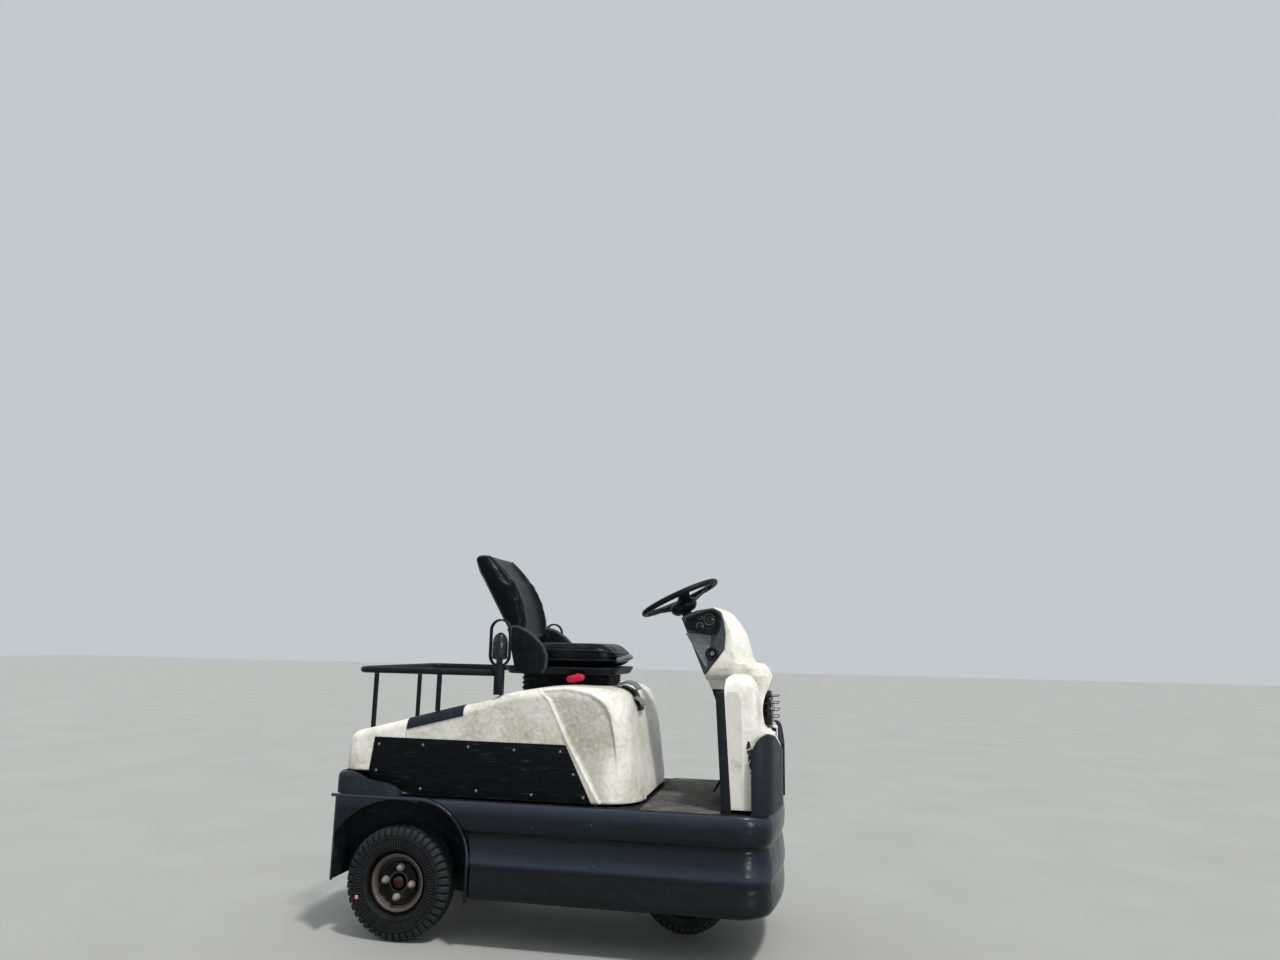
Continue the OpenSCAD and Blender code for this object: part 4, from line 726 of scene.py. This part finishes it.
gauge_rim = worn("grey_gauge_ring", "#5a5f61", "#2b2e30", 0.4, 1.0, 0.05)
rightward = (0, -1, 0)
key_at = (nose - 306, -156.4, deck + 631)
socket_line = [[0, 0], [0, 29], [6, 29], [8, 26], [8, 19], [4, 18], [4, 0]]
barrel_line = [[3, 0], [3, 10], [9, 10], [10.5, 8.5], [10.5, 4], [8, 3.5], [8, 0]]
fit(turned("key_socket", socket_line, key_at, rightward, black_abs), "chassis", "gauge_black")
fit(turned("key_barrel", barrel_line, key_at, rightward, zinc), "chassis", "gauge_black")
# Each gauge is a radius and a place; its dial lies inside a low ring
for r, gauge_x, gauge_z in ((25, 1602, 1363), (17, 1560, 1332), (14, 1559, 1376)):
    at = (gauge_x, -164.4, gauge_z)
    dial_line = [[0, 0], [0, r - 2], [1.5, r - 2.5], [1.5, 0]]
    ring_line = [[0, r - 2], [0, r + 1], [3, r + 1], [4, r], [4, r - 1.5], [2, r - 2.5], [0, r - 2]]
    fit(turned("gauge_dial_%d" % r, dial_line, at, rightward, gauge_face, 40), "chassis", "gauge_black")
    fit(turned("gauge_ring_%d" % r, ring_line, at, rightward, gauge_rim, 40), "chassis", "gauge_black")
# The pod's cheeks have a bleached facet under the binnacle, bent along a crease
bleached_abs = worn("bleached_grey_abs", "#63686a", "#7f8383", 0.55, 1.2, 0.2)
t = np.linspace(0, 1, 20)[:, None]
v = np.linspace(0, 1, 14)[None, :]
crease = [0, 0.3, 0.72, 1]
facet_x, facet_z = 1494 + 88 * t, 1302 - 145 * t
facet_x = facet_x + (np.interp(t, crease, [1606, 1608, 1596, 1591]) - facet_x) * v
facet_z = facet_z + (np.interp(t, crease, [1296, 1262, 1200, 1154]) - facet_z) * v
for hand, which in sides:
    cheek = net(facet_x, hand * (156.6 + 1.6 * (1 - v)), facet_z)
    fit(surface("pod_facet_" + which, row(cheek), bleached_abs), "chassis", "pod_grey")

# Steering wheel
# Hard moulded wheel on a steel core: a thick grained grip with a ribbed underside, three flat tapered
# spokes and a domed cap. It turns about the column, which leans back 25.5 degrees.
grip_black = worn("moulded_wheel_grip", "#101215", "#2b2d30", 0.4, 1.0, 0.12, cover=0.35)
wheel_at = np.array([nose - 478, 0.0, deck + 884])
tilt = math.radians(25.5)
grip_r, grip_thick, finger_ribs = 182, 13.6, 60


def on_wheel(x, y, z):
    """Points on the wheel's own plane (x up and forward, z along the column) turned by the column's tilt to
    their place."""
    forward, up = x * math.cos(tilt) - z * math.sin(tilt), x * math.sin(tilt) + z * math.cos(tilt)
    return row(net(forward, y, up) + wheel_at)


def bulge(wave, power):
    """Super-ellipse term, sign(wave) * |wave| ** power: a low power squares a round outline's corners."""
    return np.sign(wave) * np.abs(wave) ** power


u = full_turn(240)[:, None]
v = full_turn(24)[None, :]
thick = grip_thick - 0.9 * np.clip(-np.sin(v), 0, 1) * (0.5 + 0.5 * np.cos(finger_ribs * u))
around = grip_r + thick * np.cos(v)
grip = on_wheel(around * np.cos(u), around * np.sin(u), thick * np.sin(v))
grip = surface("wheel_grip", grip, grip_black, wrap_u=True, wrap_v=True)
fit(grip, "steering_wheel", "wheel_black", "steering_wheel")
# Each spoke is a flat rounded blade, dished: it drops 42 mm from the grip to the boss
t = np.linspace(0, 1, 30)[:, None]
e = full_turn(28)[None, :]
flat = bulge(np.cos(e), 0.6)
reach = 30 + 146 * t
across = (54 - 34 * t * (1 - t) - 26 * t) * flat
dip = -6 - 42 * (1 - t) ** 1.2 + 5 * bulge(np.sin(e), 0.6) + 5 * flat ** 2 * (1 - t)
for angle in (-75, 45, 165):
    c, s = math.cos(math.radians(angle)), math.sin(math.radians(angle))
    blade = on_wheel(reach * c - across * s, reach * s + across * c, dip)
    spoke = surface("wheel_spoke_%d" % (angle + 75), blade, grip_black, wrap_v=True, caps=True)
    fit(spoke, "steering_wheel", "wheel_black")
# The cap's outline is [along the column, radius]
cap_line = np.array([[-74, 0], [-74, 42], [-70, 50], [-56, 62], [-38, 66], [-24, 60], [-14, 46], [-8, 24],
                     [-7, 0]])
u = full_turn(48)[:, None]
cap_z, cap_r = cap_line[None, :, 0], cap_line[None, :, 1]
cap = surface("wheel_cap", on_wheel(cap_r * np.cos(u), cap_r * np.sin(u), cap_z), grip_black, wrap_u=True)
fit(cap, "steering_wheel", "wheel_black")

# Hood
# Tilting hood, laid up in glass fibre with an off-white gelcoat. A rib runs down its side ahead of the
# screwed panel, and the face before the rib lies a little deeper. The rear cover butts on it at a seam.
hood_half_w = measured("rear_deck_cover")[1][1]
hood_foot, cover_foot = measured("hood")[0][2], measured("rear_deck_cover")[0][2]
# Stations along both: [from the rear panel, height above the deck, inset, radius of the upper edge]
hood_line = [[301.7, 323, 0, 34], [548, 386, 0, 34], [649, 406, 0, 34], [716, 434, 0, 36], [800, 456, 0, 40],
             [900, 472, 0, 44], [1010, 482, 0, 52], [1150, 478, 2, 66], [1212, 468, 10, 90],
             [1250, 448, 24, 110], [1276, 398, 40, 120], [1296, 312, 60, 120], [1315, 192, 92, 100],
             [1332, 82, 136, 50], [1342, 20, 200, 6]]
cover_line = [[22, 130, 34, 16], [28, 178, 26, 20], [38, 236, 12, 26], [52, 256, 4, 30], [76, 267, 0, 32],
              [300.4, 323, 0, 34]]
# The rib's middle, up from its foot: [height above the deck, from the rear panel]
rib_line = np.array([[11, 1177], [153, 1095], [271, 1026], [424, 949], [466, 896]], float)
# The upper edge of the deeper field, forward from the rib: [from the rear panel, height]
arc_line = np.array([[880, 1041], [907, 1046], [947, 1051], [991, 1056], [1036, 1053], [1080, 1047],
                     [1124, 1036], [1169, 1012], [1195, 988], [1214, 952], [1228, 892], [1238, 831],
                     [1246, 760], [1252, 690]], float)


def step(value):
    """Smooth step: 0 below 0, 1 above 1, and 3 v^2 - 2 v^3 between."""
    v = np.clip(value, 0, 1)
    return v * v * (3 - 2 * v)


def mirrored(half):
    """The right half of a section, column by column, and its mirror on the left."""
    return np.concatenate([half, half[:, -2::-1] * [1, -1, 1]], 1)


def ribbed(half, top, a):
    """Presses the hood's side: it stands 4 mm out on the rib line, and the field ahead of the rib and under
    the arc line lies 11 mm in with a crisp edge. a is the angle of each column's outward normal. A darkening
    share comes back with the points: painted shade over the recessed field, with its dirt, a smaller share
    behind the rib and a share at the foot."""
    x, z = half[..., 0], half[..., 2]
    off_lid = a > math.pi / 2 + 0.01
    past = x - np.interp(z - deck, *rib_line.T)
    arc = np.interp(x, *arc_line.T)
    slope = np.abs(np.gradient(arc[:, 0], x[:, 0]))[:, None]
    under = (arc - z) / np.sqrt(1 + slope ** 2)
    fade = 1 - step((x - 1130) / 90) * (1 - step((z - deck - 60) / 260))
    rib = 4 * np.exp(-(past / 7) ** 4) * step((deck + 474 - z) / 12) * off_lid
    field = step((past - 3) / 8) * step(under / 8) * fade * off_lid
    out = rib - 11 * field
    half = half + net(0 * out, out * np.cos(a), out * np.sin(a))
    behind = step((top - 16 - half[..., 2]) / 30) * (1 - step((past + 10) / 10))
    return half, 0.95 * field + 0.45 * behind + 0.9 * step((606 - half[..., 2]) / 14)


def moulding(line, foot, n_side, pace=6, soft=40, rib=False):
    """Rings along the stations of a line: up the side from the foot, round the upper edge, over the top, and
    mirrored. Where there is a rib, the share of dirt and painted shade comes back with the net."""
    x, h, inset, r = (eased(line, pace, soft)[:, None, k] for k in range(4))
    w, top, r = hood_half_w - inset, deck + h, np.maximum(r, 3)
    t = np.linspace(0, 1, n_side)[None, :]
    a = np.linspace(math.pi, math.pi / 2, 20)[None, 1:]
    m = np.linspace(0, 1, 12)[None, 1:]
    foot_z = np.minimum(foot, top - r - 1)
    wall = net(x, -w, foot_z + (top - r - foot_z) * t)
    edge = net(x, -w + r + r * np.cos(a), top - r + r * np.sin(a))
    lid = net(x, (-w + r) * (1 - m), top)
    half = np.concatenate([wall, edge, lid], 1)
    if not rib:
        return mirrored(half), None
    a = np.concatenate([np.full(n_side, math.pi), a[0], np.full(11, math.pi / 2)])[None, :]
    # dirt holds painted shade over the recessed field as well as dirt
    half, dirt = ribbed(half, top, a)
    return mirrored(half), np.concatenate([dirt, dirt[:, -2::-1]], 1)


def walled(ob, thick, offset):
    """Gives a single skin its wall, in metres: offset -1 lays it inside, 1 outside."""
    wall = ob.modifiers.new("wall", "SOLIDIFY")
    wall.thickness = thick
    wall.offset = offset
    return ob


hood_net, hood_dirt_and_shade = moulding(hood_line, hood_foot, 58, pace=5, rib=True)
hood = walled(surface("hood_moulding", row(hood_net), gelcoat, dirt_and_painted_light=hood_dirt_and_shade), 0.005, -1.0)
fit(hood, "seat_hood", "cover_white", "hood")
cover_net = moulding(cover_line, cover_foot, 24, soft=14)[0]
cover = walled(surface("rear_cover_moulding", row(cover_net), gelcoat), 0.005, -1.0)
fit(cover, "seat_hood", "cover_white", "rear_deck_cover")

# Dark rubber edge strips, pressed over the hood's upper edges between the seam and the seat
strip_rubber = worn("edge_strip_rubber", "#1f2429", "#2f3437", 0.6, 1.5, 0.2, cover=0.35)
strip_line = eased(hood_line, 6, 40)
strip_line = strip_line[(strip_line[:, 0] > 303) & (strip_line[:, 0] < 566)]
x, h, _, r = (strip_line[:, None, k] for k in range(4))
strip_proud, strip_down = 1.2, 12
w, top = hood_half_w + strip_proud, deck + h + strip_proud
down = np.linspace(0, 1, 8)[None, :-1]
a = np.linspace(math.pi, math.pi / 2, 12)[None, :]
strip_side = net(x, -w, top - r - strip_down * (1 - down))
strip_edge = net(x, -w + r + r * np.cos(a), top - r + r * np.sin(a))
strip_net = np.concatenate([strip_side, strip_edge], 1)
for hand, which in sides:
    strip = surface("edge_strip_" + which, row(strip_net * [1, -hand, 1]), strip_rubber)
    fit(walled(strip, 0.0018, 1.0), "seat_hood", "rail_black")

# Side panels
# Black moulded panels over the battery bay, each held by eleven dome-head screws of plated zinc.
# The moulding is satin and scratched lengthways, so the scratches catch the light as fine grey lines.
panel_black, tree, shader, place = new_material("scratched_black_panel", rough=0.46, shine=0.06)
streak = add(tree, "Mapping", {"Vector": place, "Scale": (0.09, 1.0, 1.0)})
lines = add(tree, "TexNoise", {"Vector": streak.outputs[0], "Scale": 1000 / 7.7, "Detail": 6.0,
                               "Roughness": 0.7})
tone = add(tree, "ValToRGB", {"Fac": lines.outputs["Fac"]},
           [(0.4, "#07090b"), (0.6, "#0d1113"), (0.70, "#2a3134")])
tree.links.new(tone.outputs[0], shader.inputs["Base Color"])
bump = add(tree, "Bump", {"Height": lines.outputs["Fac"], "Distance": 0.0008, "Strength": 0.7})
tree.links.new(bump.outputs[0], shader.inputs["Normal"])
dress(panel_black, "side_panel_right", "side_panel_left", radius=0.0015)
# A screw's outline is [out from the panel, radius]; the places are [from the rear panel, above the deck]
screw_line = np.array([[0, 6.8], [1.2, 6.7], [2.8, 5.2], [3.6, 3.0], [3.8, 2.2], [2.6, 1.4], [2.6, 0]])
screw_places = np.array([[183, 213], [389, 217], [596, 217], [803, 213], [1006, 214], [1066, 124], [1112, 34],
                         [887, 35], [642, 39], [388, 35], [177, 103]], float)
panel_y = measured("side_panel_left")[1][1] + 0.1
u = full_turn(16)[:, None]
out, round_r = screw_line[None, :, 0], screw_line[None, :, 1]
screw = net(round_r * np.cos(u), -out, round_r * np.sin(u))
at = np.insert(screw_places + [0, deck], 1, -panel_y, axis=1)
screws = screw[None] + at[:, None, None]
n, m = screw.shape[:2]
first = n * m * np.arange(len(at))[:, None, None]
here, there = m * np.arange(n)[:, None], m * ((np.arange(n)[:, None] + 1) % n)
j = np.arange(m - 1)
faces = np.stack([first + here + j, first + there + j, first + there + j + 1, first + here + j + 1], -1)
faces = faces.reshape(-1, 4).tolist()
for hand, which in sides:
    heads = shaped("panel_screws_" + which, row(screws * [1, -hand, 1]), faces, zinc)
    fit(heads, "seat_hood", "panel_black")

# Luggage rail and rear lamps
# Bent and welded steel tube, powder coated black, with a domed lamp in a flat hoop on each front post.
# The powder coat is satin and dusty; the lamps' mouldings are glossier.
powder_coat = worn("black_powder_coat", "#15181d", "#34332f", 0.4, 1.2, 0.12, cover=0.35)
dress(powder_coat, "luggage_rail", "lamp_post_right", "lamp_post_left", radius=0.001)
lamp_moulding = worn("domed_lamp_moulding", "#1a1d21", "#3f4244", 0.3, 1.2, 0.06, coat=0.3, cover=0.4)
dress(lamp_moulding, "rear_lamp_right", "rear_lamp_left", radius=0.003, angle=30)

# Seat
# Sprung driver's seat: foam cushion and wrap-round back in black grained vinyl, on a pressed steel pan
# over a bellows-covered spring base, with hip restraints at both sides and a red weight lever.

# The vinyl is moulded with a grain of 2.2 mm cells, and a painted sheen lightens its colour in soft patches
# about 125 mm across
vinyl, tree, shader, place = new_material("grained_black_vinyl", rough=0.3, shine=0.08)
painted_sheen = add(tree, "TexNoise", {"Vector": place, "Scale": 1000 / 125, "Detail": 5.0})
tone = add(tree, "ValToRGB", {"Fac": painted_sheen.outputs["Fac"]},
           [(0.35, "#07090b"), (0.6, "#0c0f12"), (0.8, "#181c20")])
tree.links.new(tone.outputs[0], shader.inputs["Base Color"])
grain = add(tree, "TexVoronoi", {"Vector": place, "Scale": 1000 / 2.2}, feature="DISTANCE_TO_EDGE")
bump = add(tree, "Bump", {"Height": grain.outputs["Distance"], "Distance": 0.0006, "Strength": 0.35})
wrinkle = add(tree, "TexNoise", {"Vector": place, "Scale": 1000 / 38.5, "Detail": 4.0})
bump = add(tree, "Bump", {"Height": wrinkle.outputs["Fac"], "Distance": 0.0015, "Strength": 0.15,
                          "Normal": bump.outputs[0]})
tree.links.new(bump.outputs[0], shader.inputs["Normal"])


def stuffed(name, p, cap, **wraps):
    """Padded piece: the form is remeshed in voxels of 6 mm, blown up as cloth with pressure 4 and no gravity
    for 20 frames, no point moves further than the cap in metres, and the surface is smoothed and divided."""
    ob = surface(name, p, vinyl, **wraps)
    remesh = ob.modifiers.new("remesh", "REMESH")
    remesh.mode = "VOXEL"
    remesh.voxel_size = 0.006
    bpy.context.view_layer.update()
    mesh = applied(ob)
    ob.modifiers.clear()
    ob.data = mesh
    before = np.empty(len(mesh.vertices) * 3)
    mesh.vertices.foreach_get("co", before)
    cloth = ob.modifiers.new("cloth", "CLOTH")
    cloth.settings.use_pressure = True
    cloth.settings.uniform_pressure_force = 4.0
    cloth.settings.effector_weights.gravity = 0.0
    cloth.settings.quality = 4
    for tick in range(1, 21):
        scene.frame_set(tick)
    after = np.empty_like(before)
    applied(ob).vertices.foreach_get("co", after)
    ob.modifiers.clear()
    scene.frame_set(1)
    move = (after - before).reshape(-1, 3)
    size = np.linalg.norm(move, axis=1, keepdims=True)
    move *= np.minimum(1.0, cap / np.maximum(size, 1e-9))
    mesh.vertices.foreach_set("co", (before.reshape(-1, 3) + move).ravel())
    mesh.polygons.foreach_set("use_smooth", [True] * len(mesh.polygons))
    mesh.update()
    calm = ob.modifiers.new("calm", "SMOOTH")
    calm.factor = 0.5
    calm.iterations = 8
    more = ob.modifiers.new("subdivision", "SUBSURF")
    more.levels = more.render_levels = 1
    return ob


cushion_x = 969.0


def cushion_form():
    """Rounded slab: a super-ellipsoid 452 by 460 by 88 mm. Its top has side bolsters raised 7 mm, a nose that
    rolls down 32 mm and a rear edge raised 6 mm."""
    u = full_turn(120)[:, None]
    v = np.linspace(-math.pi / 2, math.pi / 2, 60)[None, :]
    plan = bulge(np.cos(v), 0.35)
    x = cushion_x + 226 * plan * bulge(np.cos(u), 0.62)
    y = 230 * plan * bulge(np.sin(u), 0.42)
    z = 1192 + 44 * bulge(np.sin(v), 0.5)
    bolster = 7 * np.clip((np.abs(y) - 120) / 60, 0, 1)
    nose_roll = 32 * np.clip((x - 1100) / 95, 0, 1) ** 2
    rear_edge = 6 * np.clip((850 - x) / 80, 0, 1)
    upper = np.clip((z - 1180) / 50, 0, 1)
    return row(net(x, y, z + upper * (bolster - nose_roll + rear_edge)))


cushion = stuffed("cushion_pad", cushion_form(), 0.008, wrap_u=True)
fit(cushion, "seat_hood", "seat_vinyl", "seat_cushion")

# The backrest's side views from the bottom up: [from the rear panel, height]
back_rear = np.array([[700, 1150], [690, 1250], [676, 1312], [627, 1394], [573, 1486], [525, 1571],
                      [503, 1626], [507, 1651]], float)
back_front = np.array([[744, 1262], [752, 1300], [752, 1350], [731, 1436], [690, 1521], [628, 1591],
                       [575, 1643], [545, 1656]], float)
back_half_w, back_rows, back_columns = 205.0, 40, 61


def back_form():
    """Backrest: rear and front side views at equal steps up, closed over the top. The front sinks 22 mm
    between two side bolsters, and the shell narrows to the top and rounds off at both sides."""
    t = np.linspace(0, 1, back_rows)
    knots = np.linspace(0, 1, len(back_front))
    rear = np.stack([np.interp(t, knots, c) for c in back_rear.T], 1)
    front = np.stack([np.interp(t, knots, c) for c in back_front.T], 1)
    v = np.linspace(-1, 1, back_columns)[:, None]
    loop = np.concatenate([front, rear[::-1]])[None]
    height = np.concatenate([t, t[::-1]])[None, :]
    is_front = np.concatenate([np.ones(back_rows), np.zeros(back_rows)])[None, :]
    middle = np.concatenate([(front + rear) / 2, (front + rear)[::-1] / 2])[None]
    thin = (1 - np.abs(v) ** 12) ** 0.42
    xz = middle + (loop - middle) * thin[..., None]
    deep = np.concatenate([front - rear, (front - rear)[::-1]])[None]
    deep = deep / np.linalg.norm(deep, axis=-1, keepdims=True)
    dish = 22 * is_front * np.clip(1 - (np.abs(v) / 0.7) ** 5, 0, 1)
    dish = dish * step(height * 6) * step((1 - height) * 3)
    xz = xz - deep * dish[..., None]
    half = back_half_w * (1 - 0.04 * height ** 2 - 0.16 * np.clip((height - 0.86) / 0.14, 0, 1) ** 2)
    # Moved back to where the photograph shows it, the rear face more than the front
    shift = 13 + 9 * height + (1 - is_front) * 9 * height
    return row(net(xz[..., 0] - shift, v * half, xz[..., 1]))


backrest = stuffed("back_pad", back_form(), 0.006, wrap_v=True, caps=True)
fit(backrest, "seat_hood", "seat_vinyl", "seat_backrest")


def piping(name, path, r, finish, pad=None, closed=False):
    """Cord of radius r in metres: a circle is swept along the path on frames made from its tangents and one
    fixed side. With a pad, the path is first laid on the pad's nearest faces, as a sewn cord lies."""
    if pad is not None:
        seen = pad.evaluated_get(bpy.context.evaluated_depsgraph_get())
        found = [seen.closest_point_on_mesh(Vector(q)) for q in path.tolist()]
        path = np.array([hit[1] + hit[2] * r * 0.6 for hit in found])
        # The pad's small faces make the laid path shiver; averaging with its neighbours draws the cord taut
        for _ in range(40):
            path[1:-1] = (path[:-2] + 2 * path[1:-1] + path[2:]) / 4
    run = np.roll(path, -1, 0) - np.roll(path, 1, 0)
    if not closed:
        run[0], run[-1] = path[1] - path[0], path[-1] - path[-2]
    run /= np.linalg.norm(run, axis=1, keepdims=True)
    e1 = np.cross(run, [0.13, 0.21, 0.97])
    e1 /= np.linalg.norm(e1, axis=1, keepdims=True)
    e2 = np.cross(run, e1)
    v = full_turn(8)[None, :, None]
    p = path[:, None] + r * (np.cos(v) * e1[:, None] + np.sin(v) * e2[:, None])
    return surface(name, p, finish, wrap_u=closed, wrap_v=True, caps=not closed)


bpy.context.view_layer.update()
# Smooth vinyl cord, a shade paler than the grained vinyl; the hip restraints' rolled edge is rubbed grey
piping_vinyl = worn("vinyl_piping", "#1e2226", "#3a3f43", 0.4, 1.0, 0.05)
hip_guard = worn("moulded_hip_guard", "#0c0f12", "#23272b", 0.42, 1.2, 0.12, cover=0.35)
hip_edge = worn("hip_guard_edge", "#2c3033", "#404447", 0.5, 1.2, 0.1)
dress(hip_guard, "hip_restraint_right", "hip_restraint_left", radius=0.006, angle=25)
hip_line = eased([[692, 1295], [706, 1308], [726, 1313], [764, 1301], [813, 1270], [853, 1231], [874, 1187],
                  [871, 1134], [853, 1117]], 6, 30)
hip_y, seam_in = 258.3, 5
for hand, which in sides:
    # The seam follows the form's corner between front and side, five rows in from its end
    seam = back_form()[back_columns - 1 - seam_in if hand > 0 else seam_in, 3:36]
    fit(piping("back_seam_" + which, seam, 0.0032, piping_vinyl, backrest), "seat_hood", "seat_vinyl")
    rolled = row(net(hip_line[:, 0], hand * hip_y, hip_line[:, 1]))
    fit(piping("hip_edge_" + which, rolled, 0.011, hip_edge), "seat_hood", "seat_frame")
u = full_turn(160)
for name, level in (("cushion_seam_upper", 1222), ("cushion_seam_lower", 1166)):
    loop = row(net(cushion_x + 232 * bulge(np.cos(u), 0.5), 236 * bulge(np.sin(u), 0.42), level))
    fit(piping(name, loop, 0.0028, piping_vinyl, cushion, closed=True), "seat_hood", "seat_vinyl")

# The pan is pressed with a rolled rim, [height, tuck under the widest line, 0 at the middle]; it is
# enamelled in satin black
seat_steel = worn("pressed_seat_steel", "#0f1114", "#26282a", 0.45, 1.2, 0.12, cover=0.35)
pan_line = np.array([[1106, 22, 0], [1106, 22, 1], [1108, 14, 1], [1116, 8, 1], [1126, 5, 1], [1129, 1, 1],
                     [1134, 0, 1], [1139, 2, 1], [1140, 8, 1], [1140, 8, 0]], float)
level, tuck, fill = (pan_line[None, :, k] for k in range(3))
u = full_turn(200)[:, None]
box_x, box_y = bulge(np.cos(u), 0.25), bulge(np.sin(u), 0.25)
pan = row(net(925 + (265 - tuck) * fill * box_x, (245 - tuck) * fill * box_y, level))
fit(surface("pressed_pan", pan, seat_steel, wrap_u=True), "seat_hood", "seat_frame", "seat_pan")

# Under it the spring base hides in a moulded rubber bellows of four folds, matt, with dust on it
bellows, tree, shader, place = new_material("moulded_rubber_bellows", rough=0.5, shine=0.12)
dust = add(tree, "TexNoise", {"Vector": place, "Scale": 1000 / 33.3, "Detail": 6.0})
tone = add(tree, "ValToRGB", {"Fac": dust.outputs["Fac"]}, [(0.35, "#0b0c0e"), (0.7, "#26282a")])
tree.links.new(tone.outputs[0], shader.inputs["Base Color"])
t = np.linspace(0, 1, 57)[None, :]
fold = 5 - 7 * np.abs(np.sin(4 * math.pi * t))
base_x = 932 + (207 + fold) * box_x
base_foot = deck + np.interp(base_x, [720, 800, 900, 1010, 1150], [434, 456, 472, 482, 478]) + 1
base = row(net(base_x, (165 + fold) * box_y, base_foot + (1105.7 - base_foot) * t))
fit(surface("base_bellows", base, bellows, wrap_u=True), "seat_hood", "seat_frame", "seat_suspension")

# The weight lever is a rounded handle on the pan's right edge, moulded in bright red and a little glossy
red_moulding = worn("red_lever_moulding", "#a81c34", "#741f28", 0.35, 1.2, 0.06, coat=0.2, cover=0.3)
u = full_turn(48)[:, None]
v = np.linspace(-math.pi / 2, math.pi / 2, 25)[None, :]
waist = np.cos(v) ** 0.7
lever = net(1015 + 42 * bulge(np.cos(u), 0.7) * waist, -256 + 20 * bulge(np.sin(u), 0.7) * waist,
            1093 + 17 * bulge(np.sin(v), 0.8) + 4 * np.cos(u))
lever = surface("lever_handle", row(lever), red_moulding, wrap_u=True)
fit(lever, "seat_hood", "lever_red", "seat_lever")


def strap(name, line, y, width, thick, finish):
    """Flat strap: a line of [from the rear panel, height] in mm carries a rounded section, width wide across
    y and thick along the line's own normal."""
    q = eased(line, 4, 24)
    run = np.gradient(q, axis=0)
    run /= np.linalg.norm(run, axis=1, keepdims=True)
    e = full_turn(28)[None, :]
    over, across = thick / 2 * bulge(np.sin(e), 0.5), width / 2 * bulge(np.cos(e), 0.35)
    p = net(q[:, :1] - run[:, 1:] * over, y + across, q[:, 1:] + run[:, :1] * over)
    return surface(name, row(p), finish, wrap_v=True, caps=True)


# A bent grey handle slides the seat; the hood's catch has a pale cover and a pull bar over the dark plate
handle_grey = worn("pale_handle_moulding", "#6f7272", "#55564f", 0.45, 1.2, 0.1)
handle_line = [[1188, 1174], [1206, 1178], [1226, 1184], [1240, 1192]]
catch_line = [[1196, 1070], [1230, 1080], [1262, 1072], [1282, 1048]]
pull_line = [[1268, 1012], [1292, 1000], [1306, 978]]
fit(strap("slide_handle", handle_line, -150, 104, 22, handle_grey), "seat_hood", "seat_frame")
fit(strap("catch_cover", catch_line, -135, 96, 12, handle_grey), "seat_hood", "latch_black")
fit(strap("catch_pull", pull_line, -140, 96, 9, handle_grey), "seat_hood", "latch_black")
dress(worn("latch_moulding", "#121417", "#3a3a38", 0.45, 1.2, 0.12), "hood_latch", radius=0.002)
